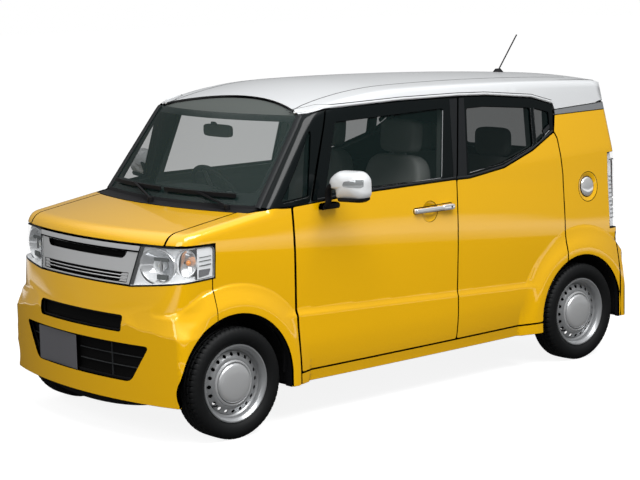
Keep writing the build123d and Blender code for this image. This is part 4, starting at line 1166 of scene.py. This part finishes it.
foot = rounded([(-58, -12), (52, -12), (56, 2), (44, 12), (-50, 12), (-58, 4)], 4)
plate("mirrorFoot_left", foot, (640, 748, 1093), (-1, 0, 0), (0, 0, 1), trim, "front_door_left", edge=4,
      thick=24, both=True)
# the grip's path: x, and how far it stands off the door
grip = {"z": 998, "path": [(38, 3), (34, 11), (20, 16), (-90, 18), (-212, 16), (-228, 11), (-233, 3)],
        "half": (12.5, 6)}
gripLine = smoothPath([onBody("side", [(x, grip["z"])])[0] + (0, out, 0) for x, out in grip["path"]], 8)
grips = sweep("doorGrip_left", gripLine, disc(grip["half"][0], 20, grip["half"][1] / grip["half"][0]), chrome,
              "front_door_left", up=(0, 1, 0), both=True)
standFor(grips, "door_handle")
pebble("gripEnd_left", (-196, 735, 999), (44, 12, 15.5), chrome, "front_door_left", power=0.5, fine=16,
       both=True)
lathe("keyhole_left", [(0, 0), (0, 6), (1.6, 5), (1.6, 0)], (-212, 746.4, 1000), (0, 1, 0), dark,
      "front_door_left", 20, both=True)
ribbon("gripSeal_left", [("side", rounded([(46, 984), (46, 1012), (-240, 1018), (-240, 981)], 13))],
       bead(5, 1.2), dark, "front_door_left", closed=True, both=True)
panel("rearGrip_left", [("side", rounded([(-1010, 1318), (-1062, 1350), (-1060, 1372), (-1000, 1340)], 8))],
      sideView, matt, "rear_door_left", depth=-2, edge=2, thick=4, both=True)
print("mirrors and handles")

tailLamp = [("side", [(-1600, 1165), (-1558, 1165), (-1560, 739), (-1600, 739)]),
            ("rear", [(660, 739), (623, 739), (623, 1165), (660, 1165)])]
tailBack = panel("tailLampBack_left", tailLamp, quarterChart, lampWhite, depth=14, step=18, edge=0.5,
                 thick=10, both=True)
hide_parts("tail_lamps")
panel("tailLens_left", tailLamp, quarterChart, lens, depth=0.5, step=14, edge=3, thick=4, both=True)
for name, low, high, look in (("tailStop_left", 905, 1120, redLens), ("tailTurn_left", 850, 895, amber),
                              ("tailReverse_left", 780, 840, bulbGlass)):
    panel(name, [("rear", rounded([(634, low), (634, high), (656, high), (656, low)], 6))], tailChart, look,
          depth=7, step=14, edge=2, thick=4, both=True)
tailRibs = {"count": 11, "lowest": 790, "apart": 24}
for k in range(tailRibs["count"]):
    z = tailRibs["lowest"] + k * tailRibs["apart"]
    ribbon("tailRib" + str(k) + "_left", [("side", [(-1600, z), (-1572, z)])], bead(7, 3), satin, depth=12,
           both=True)
ribbon("tailBand_left", [("side", [(-1562, 1128), (-1600, 1128)]), ("rear", [(670, 1128), (628, 1128)])],
       bead(4, 1.5), matt, depth=1, both=True)
garnish = rounded([(-300, 968), (300, 968), (318, 1010), (-318, 1010)], 14)
panel("gateGarnish", [("rear", garnish)], tailChart, chrome, "tailgate", depth=-5, step=18, edge=6, thick=8)
recess = rounded([(-205, 760), (205, 760), (215, 955), (-215, 955)], 16)
panel("gateRecess", [("rear", recess)], tailChart, matt, "tailgate", depth=-1, step=30, edge=1.5, thick=3)
rearPlateAt = onBody("rear", [(0, 850)], -7)[0]
plate("rearPlate", box((165, 82.5), 6), rearPlateAt, (0, -1, 0), upright, plateGrey, "tailgate", edge=1.2,
      thick=3)
stopStrip = rounded([(-170, 1556), (170, 1556), (166, 1572), (-166, 1572)], 4)
panel("stopStrip", [("rear", stopStrip)], tailChart, redLens, "tailgate", depth=-1, step=20, edge=2, thick=4)
wiperRoot = onBody("rear", [(-20, 1178)], -16)[0]
wiperTip = onBody("rear", [(330, 1215)], -16)[0]
pebble("rearWiperHub", wiperRoot + (6, 0, 0), (14, 24, 20), trim, "tailgate", power=0.5, fine=14)
sweep("rearWiperArm", smoothPath([wiperRoot, wiperRoot * 0.4 + wiperTip * 0.6 - (3, 0, 0), wiperTip], 8),
      disc(7, 10, 0.7), trim, "tailgate", up=(-1, 0, 0))
blade = [onBody("rear", [(y, 1186 + 0.09 * y)], -6)[0] for y in (40, 160, 280, 420)]
sweep("rearWiperBlade", smoothPath(blade, 6), [(5, -5), (5, 3), (2, 8), (-2, 8), (-5, 3), (-5, -5)], trim,
      "tailgate", up=(-1, 0, 0))
for side, sign in sides.items():
    marker = rounded([(sign * 500, 330), (sign * 610, 334), (sign * 610, 358), (sign * 500, 354)], 6)
    panel("rearReflector_" + side, [("rear", marker)], rearChart, redLens, depth=-1, step=14, edge=2, thick=4)
print("tail")


def leaning(degrees):
    # rows of a turn about the across axis: the top goes back
    a = math.radians(degrees)
    return [[math.cos(a), 0, math.sin(a)], [0, 1, 0], [-math.sin(a), 0, math.cos(a)]]


def backShape(g):
    # side bolsters come forward, the waist draws in and the face swells a little
    x, y, z = g[..., 0], g[..., 1], g[..., 2]
    across = np.abs(y) / 235
    front = np.clip(x / 60, 0, 1)
    x = x + 24 * front * across ** 4 + 7 * front * np.cos(np.clip(z / 320, -1, 1) * 4.5)
    y = y * (1 - 0.13 * np.clip(z / 320, 0, 1) ** 2 - 0.04 * np.cos(z / 100))
    return np.stack([x, y, z], -1)


def seatShape(g):
    # side bolsters rise, the cushion narrows forwards and its middle is crowned
    x, y, z = g[..., 0], g[..., 1], g[..., 2]
    top = np.clip(z / 60, 0, 1)
    crowned = z + top * (20 * (np.abs(y) / 235) ** 4 + 12 * np.cos(x / 270 * 1.4)) - 8 * top
    return np.stack([x, y * (1 - 0.06 * np.clip(x / 270, 0, 1)), crowned], -1)


seatMiddle = 312
for side, sign in sides.items():
    y = seatMiddle * sign
    seat = pebble("frontSeat_" + side, (110, y, 540), (262, 232, 66), fabric, power=0.35, shape=seatShape,
                  fine=36)
    back = pebble("frontBack_" + side, (-200, y, 928), (62, 232, 325), fabric, power=0.38,
                  turn=leaning(8), shape=backShape, fine=40)
    rest = pebble("frontRest_" + side, (-258, y, 1350), (46, 138, 92), fabric, power=0.42, turn=leaning(6),
                  fine=28)
    pebble("seatBase_" + side, (150, y, 368), (210, 190, 103), dashGrey, power=0.15, fine=12)
    for stay, off in (("A", -50), ("B", 50)):
        sweep("restStay%s_%s" % (stay, side), [(-240, y + off, 1230), (-246, y + off, 1290)], disc(6, 10),
              satin)
    if side == "left":
        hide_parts("front_seats")
rearSeat = pebble("rearSeat", (-640, 0, 545), (215, 562, 58), fabric, power=0.25, fine=36)
rearBack = pebble("rearBack", (-935, 0, 890), (56, 562, 290), fabric, power=0.25, turn=leaning(12), fine=36)
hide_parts("rear_seat")
pebble("benchBase", (-665, 0, 370), (195, 378, 105), dashGrey, power=0.15, fine=12)
rests = [pebble("rearRest_" + side, (-992, 300 * sign, 1258), (38, 124, 82), fabric, power=0.42, fine=24)
         for side, sign in sides.items()]

steering = {"at": (520, -340, 1055), "axis": (-0.866, 0, 0.5), "radius": 177, "grip": 13.5,
            "spokes": (188, -8, 270)}
steeringAt, steeringAxis = np.array(steering["at"], float), unit(steering["axis"])
steeringUp = np.cross(steeringAxis, (0, 1, 0))


def onRim(radius, turns):
    # at + radius * (cos t * left + sin t * up)
    turns = np.asarray(turns, float)[..., None]
    return steeringAt + radius * (np.cos(turns) * np.array((0, 1.0, 0)) + np.sin(turns) * steeringUp)


rim = sweep("steeringRim", onRim(steering["radius"], np.linspace(0, 2 * math.pi, 72, endpoint=False)),
            disc(steering["grip"], 14), dashGrey, "steering_wheel", up=steeringAxis, closed=True)
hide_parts("steering_wheel")
pebble("steeringPad", steeringAt - steeringAxis * 14, (26, 62, 52), dashGrey, "steering_wheel", power=0.5,
       turn=[steeringAxis, (0, 1, 0), steeringUp], fine=20)
for k, turn in enumerate(steering["spokes"]):
    end = onRim(steering["radius"] - 5, math.radians(turn)) - steeringAxis * 4
    spoke = [steeringAt - steeringAxis * 18, steeringAt * 0.5 + end * 0.5 - steeringAxis * 10, end]
    sweep("steeringSpoke" + str(k), spoke, disc(15, 12, 0.4), satin, "steering_wheel", up=steeringAxis)
pebble("meterHood", (705, -340, 1085), (95, 165, 38), dashGrey, power=0.5, fine=18)
pebble("dashPad", (800, 0, 1072), (190, 590, 22), dashGrey, power=0.3, fine=18)
glassBack = pebble("innerMirror", (765, 0, 1440), (14, 117, 33), dashGrey, power=0.4, fine=20)
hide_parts("inner_mirror")
sweep("innerMirrorStay", smoothPath([(772, 0, 1462), (786, 0, 1478), (806, 0, 1482)], 6), disc(9, 10),
      dashGrey)
print("cabin")


def core(node, look, depth=14.0):
    # a copy of the CAD piece with its outer face moved in under the sheets
    src = cadNodes[node]
    mesh = src.data.copy()
    co = np.empty(len(mesh.vertices) * 3)
    mesh.vertices.foreach_get("co", co)
    p = co.reshape(-1, 3) * 1000
    for _ in range(3):
        f = bodyDistance(p)
        p = p - gradient(p) * np.where(f > -depth, f + depth, 0)[:, None]
    mesh.vertices.foreach_set("co", (p / 1000).ravel())
    mesh.materials.clear()
    mesh.materials.append(look)
    ob = bpy.data.objects.new(node + "_core", mesh)
    scene.collection.objects.link(ob)
    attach(ob, src["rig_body"])
    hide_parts(node)
    return ob


for node in ("front_door_left", "front_door_right", "rear_door_left", "rear_door_right", "body_side_left",
             "body_side_right", "roof", "tailgate", "front_wings", "front_bumper", "rear_bumper", "bonnet"):
    core(node, inner if "door" in node or node == "roof" else trim)
core("intake_grille", dark, 30)
core("grille_back", dark, 24)
looks = {"scuttle": trim, "arch_liners": trim, "floor_pan": under, "front_frame": under, "engine_block": iron,
         "rear_axle": iron, "fuel_tank": under, "exhaust": satin, "dashboard": dashGrey, "wipers": trim,
         "antenna": trim, "knuckle_left": iron, "knuckle_right": iron}
for node, look in looks.items():
    ob = cadNodes[node]
    ob.data.materials.clear()
    ob.data.materials.append(look)
print("cad pieces")


def strongest(tree, values):
    # the largest of some values from nodes
    total = values[0]
    for value in values[1:]:
        node = tree.nodes.new("ShaderNodeMath")
        node.operation = "MAXIMUM"
        for socket, source in zip(node.inputs, (total, value)):
            tree.links.new(source, socket)
        total = node.outputs[0]
    return total


def scaled(tree, value, factor):
    # value times a number or another value
    node = tree.nodes.new("ShaderNodeMath")
    node.operation = "MULTIPLY"
    tree.links.new(value, node.inputs[0])
    if isinstance(factor, float):
        node.inputs[1].default_value = factor
    else:
        tree.links.new(factor, node.inputs[1])
    return node.outputs[0]


# the background is white to the camera and through glass; mirrors see a bright band where floor and wall meet
# band: distance over the floor in metres and level; sky: height of the direction and level
studio = {"world": 0.34, "floorColour": 0.40, "floorSeen": 0.88, "floorSize": 90,
          "band": ((5.6, 0.05), (7.6, 1.0), (9.0, 1.0), (13.5, 0.14)), "bandSpan": 24,
          "sky": ((0.0, 0.20), (0.42, 0.24), (0.75, 1.0), (1.0, 1.0))}


def steps(tree, value, points, span):
    # a value carried through a line of (place, level) points, the places over 0 to span
    ramp = tree.nodes.new("ShaderNodeValToRGB")
    ramp.color_ramp.interpolation = "EASE"
    marks = ramp.color_ramp.elements
    while len(marks) < len(points):
        marks.new(0.5)
    for mark, (place, level) in zip(marks, points):
        mark.position = place / span
        mark.color = (level, level, level, 1)
    tree.links.new(scaled(tree, value, 1.0 / span), ramp.inputs["Fac"])
    return ramp.outputs["Color"]


def lightPath(tree):
    # rays that see the surface directly or through glass, those that reflect it, and diffuse ones
    path = tree.nodes.new("ShaderNodeLightPath").outputs
    seen = strongest(tree, [path["Is Camera Ray"], path["Is Transmission Ray"]])
    return seen, path["Is Glossy Ray"], path["Is Diffuse Ray"]


def studioFloor():
    # pale floor: emission lifts it to white where it is seen; in reflections it is black with one bright band
    bpy.ops.mesh.primitive_plane_add(size=studio["floorSize"], location=(0, 0, 0))
    floor = bpy.context.object
    floor.name = "floor"
    finish = material("floorWhite", (studio["floorColour"],) * 3, 0.9, spec=0.0)
    tree = finish.node_tree
    seen, glossy, _ = lightPath(tree)
    kinds = ("ShaderNodeTexCoord", "ShaderNodeVectorMath", "ShaderNodeMath")
    where, length, unseen = (tree.nodes.new(k) for k in kinds)
    length.operation = "LENGTH"
    tree.links.new(where.outputs["Object"], length.inputs[0])
    ring = scaled(tree, glossy, steps(tree, length.outputs["Value"], studio["band"], studio["bandSpan"]))
    shader = tree.nodes["Principled BSDF"]
    unseen.operation = "SUBTRACT"
    unseen.inputs[0].default_value = 1.0
    tree.links.new(glossy, unseen.inputs[1])
    tree.links.new(scaled(tree, unseen.outputs[0], studio["floorColour"]), shader.inputs["Base Color"])
    shader.inputs["Emission Color"].default_value = (1, 1, 1, 1)
    glow = strongest(tree, [scaled(tree, seen, studio["floorSeen"]), ring])
    tree.links.new(glow, shader.inputs["Emission Strength"])
    floor.data.materials.append(finish)


def studioWorld():
    # white where it is seen, a soft sky to reflections, and a plain level of light on the car
    world = bpy.data.worlds.new("studio")
    scene.world = world
    world.use_nodes = True
    tree = world.node_tree
    seen, glossy, diffuse = lightPath(tree)
    where, split = (tree.nodes.new(k) for k in ("ShaderNodeTexCoord", "ShaderNodeSeparateXYZ"))
    tree.links.new(where.outputs["Generated"], split.inputs[0])
    mirrored = scaled(tree, glossy, steps(tree, split.outputs["Z"], studio["sky"], 1.0))
    lit = scaled(tree, diffuse, studio["world"])
    background = tree.nodes["Background"]
    background.inputs["Color"].default_value = (1, 1, 1, 1)
    tree.links.new(strongest(tree, [seen, mirrored, lit]), background.inputs["Strength"])


def lamp(name, at, target, size, power):
    # a soft rectangular lamp turned towards its target
    data = bpy.data.lights.new(name, "AREA")
    data.shape = "RECTANGLE"
    data.size, data.size_y = size
    data.energy = power
    ob = bpy.data.objects.new(name, data)
    ob.location = at
    ob.rotation_mode = "QUATERNION"
    ob.rotation_quaternion = (Vector(target) - Vector(at)).to_track_quat("-Z", "Y")
    scene.collection.objects.link(ob)


studioFloor()
studioWorld()
lamp("keyLight", (1.5, 4.0, 7.0), (0, 0, 0.8), (7, 4), 690)
lamp("frontLight", (7.5, 1.5, 4.5), (1.0, 0, 0.8), (4, 3), 100)

# metres and degrees; the roll is in radians
viewpoint = {"at": (6.7445, 7.7332, 2.3294), "yaw": -130.767, "pitch": -8.632, "roll": -0.0224,
             "lens": 105.03}
camData = bpy.data.cameras.new("mainCamera")
camData.lens, camData.sensor_width = viewpoint["lens"], 36
camera = bpy.data.objects.new("mainCamera", camData)
yaw, pitch, roll = math.radians(viewpoint["yaw"]), math.radians(viewpoint["pitch"]), viewpoint["roll"]
forward = Vector((math.cos(pitch) * math.cos(yaw), math.cos(pitch) * math.sin(yaw), math.sin(pitch)))
right = forward.cross(Vector((0, 0, 1))).normalized()
upward = right.cross(forward)
tiltRight = right * math.cos(roll) + upward * math.sin(roll)
tiltUp = upward * math.cos(roll) - right * math.sin(roll)
turn = Matrix((tiltRight, tiltUp, -forward)).transposed()
camera.rotation_mode = "QUATERNION"
camera.location = viewpoint["at"]
camera.rotation_quaternion = turn.to_quaternion()
scene.collection.objects.link(camera)
scene.camera = camera
scene.view_settings.view_transform = "Standard"
print("finished")
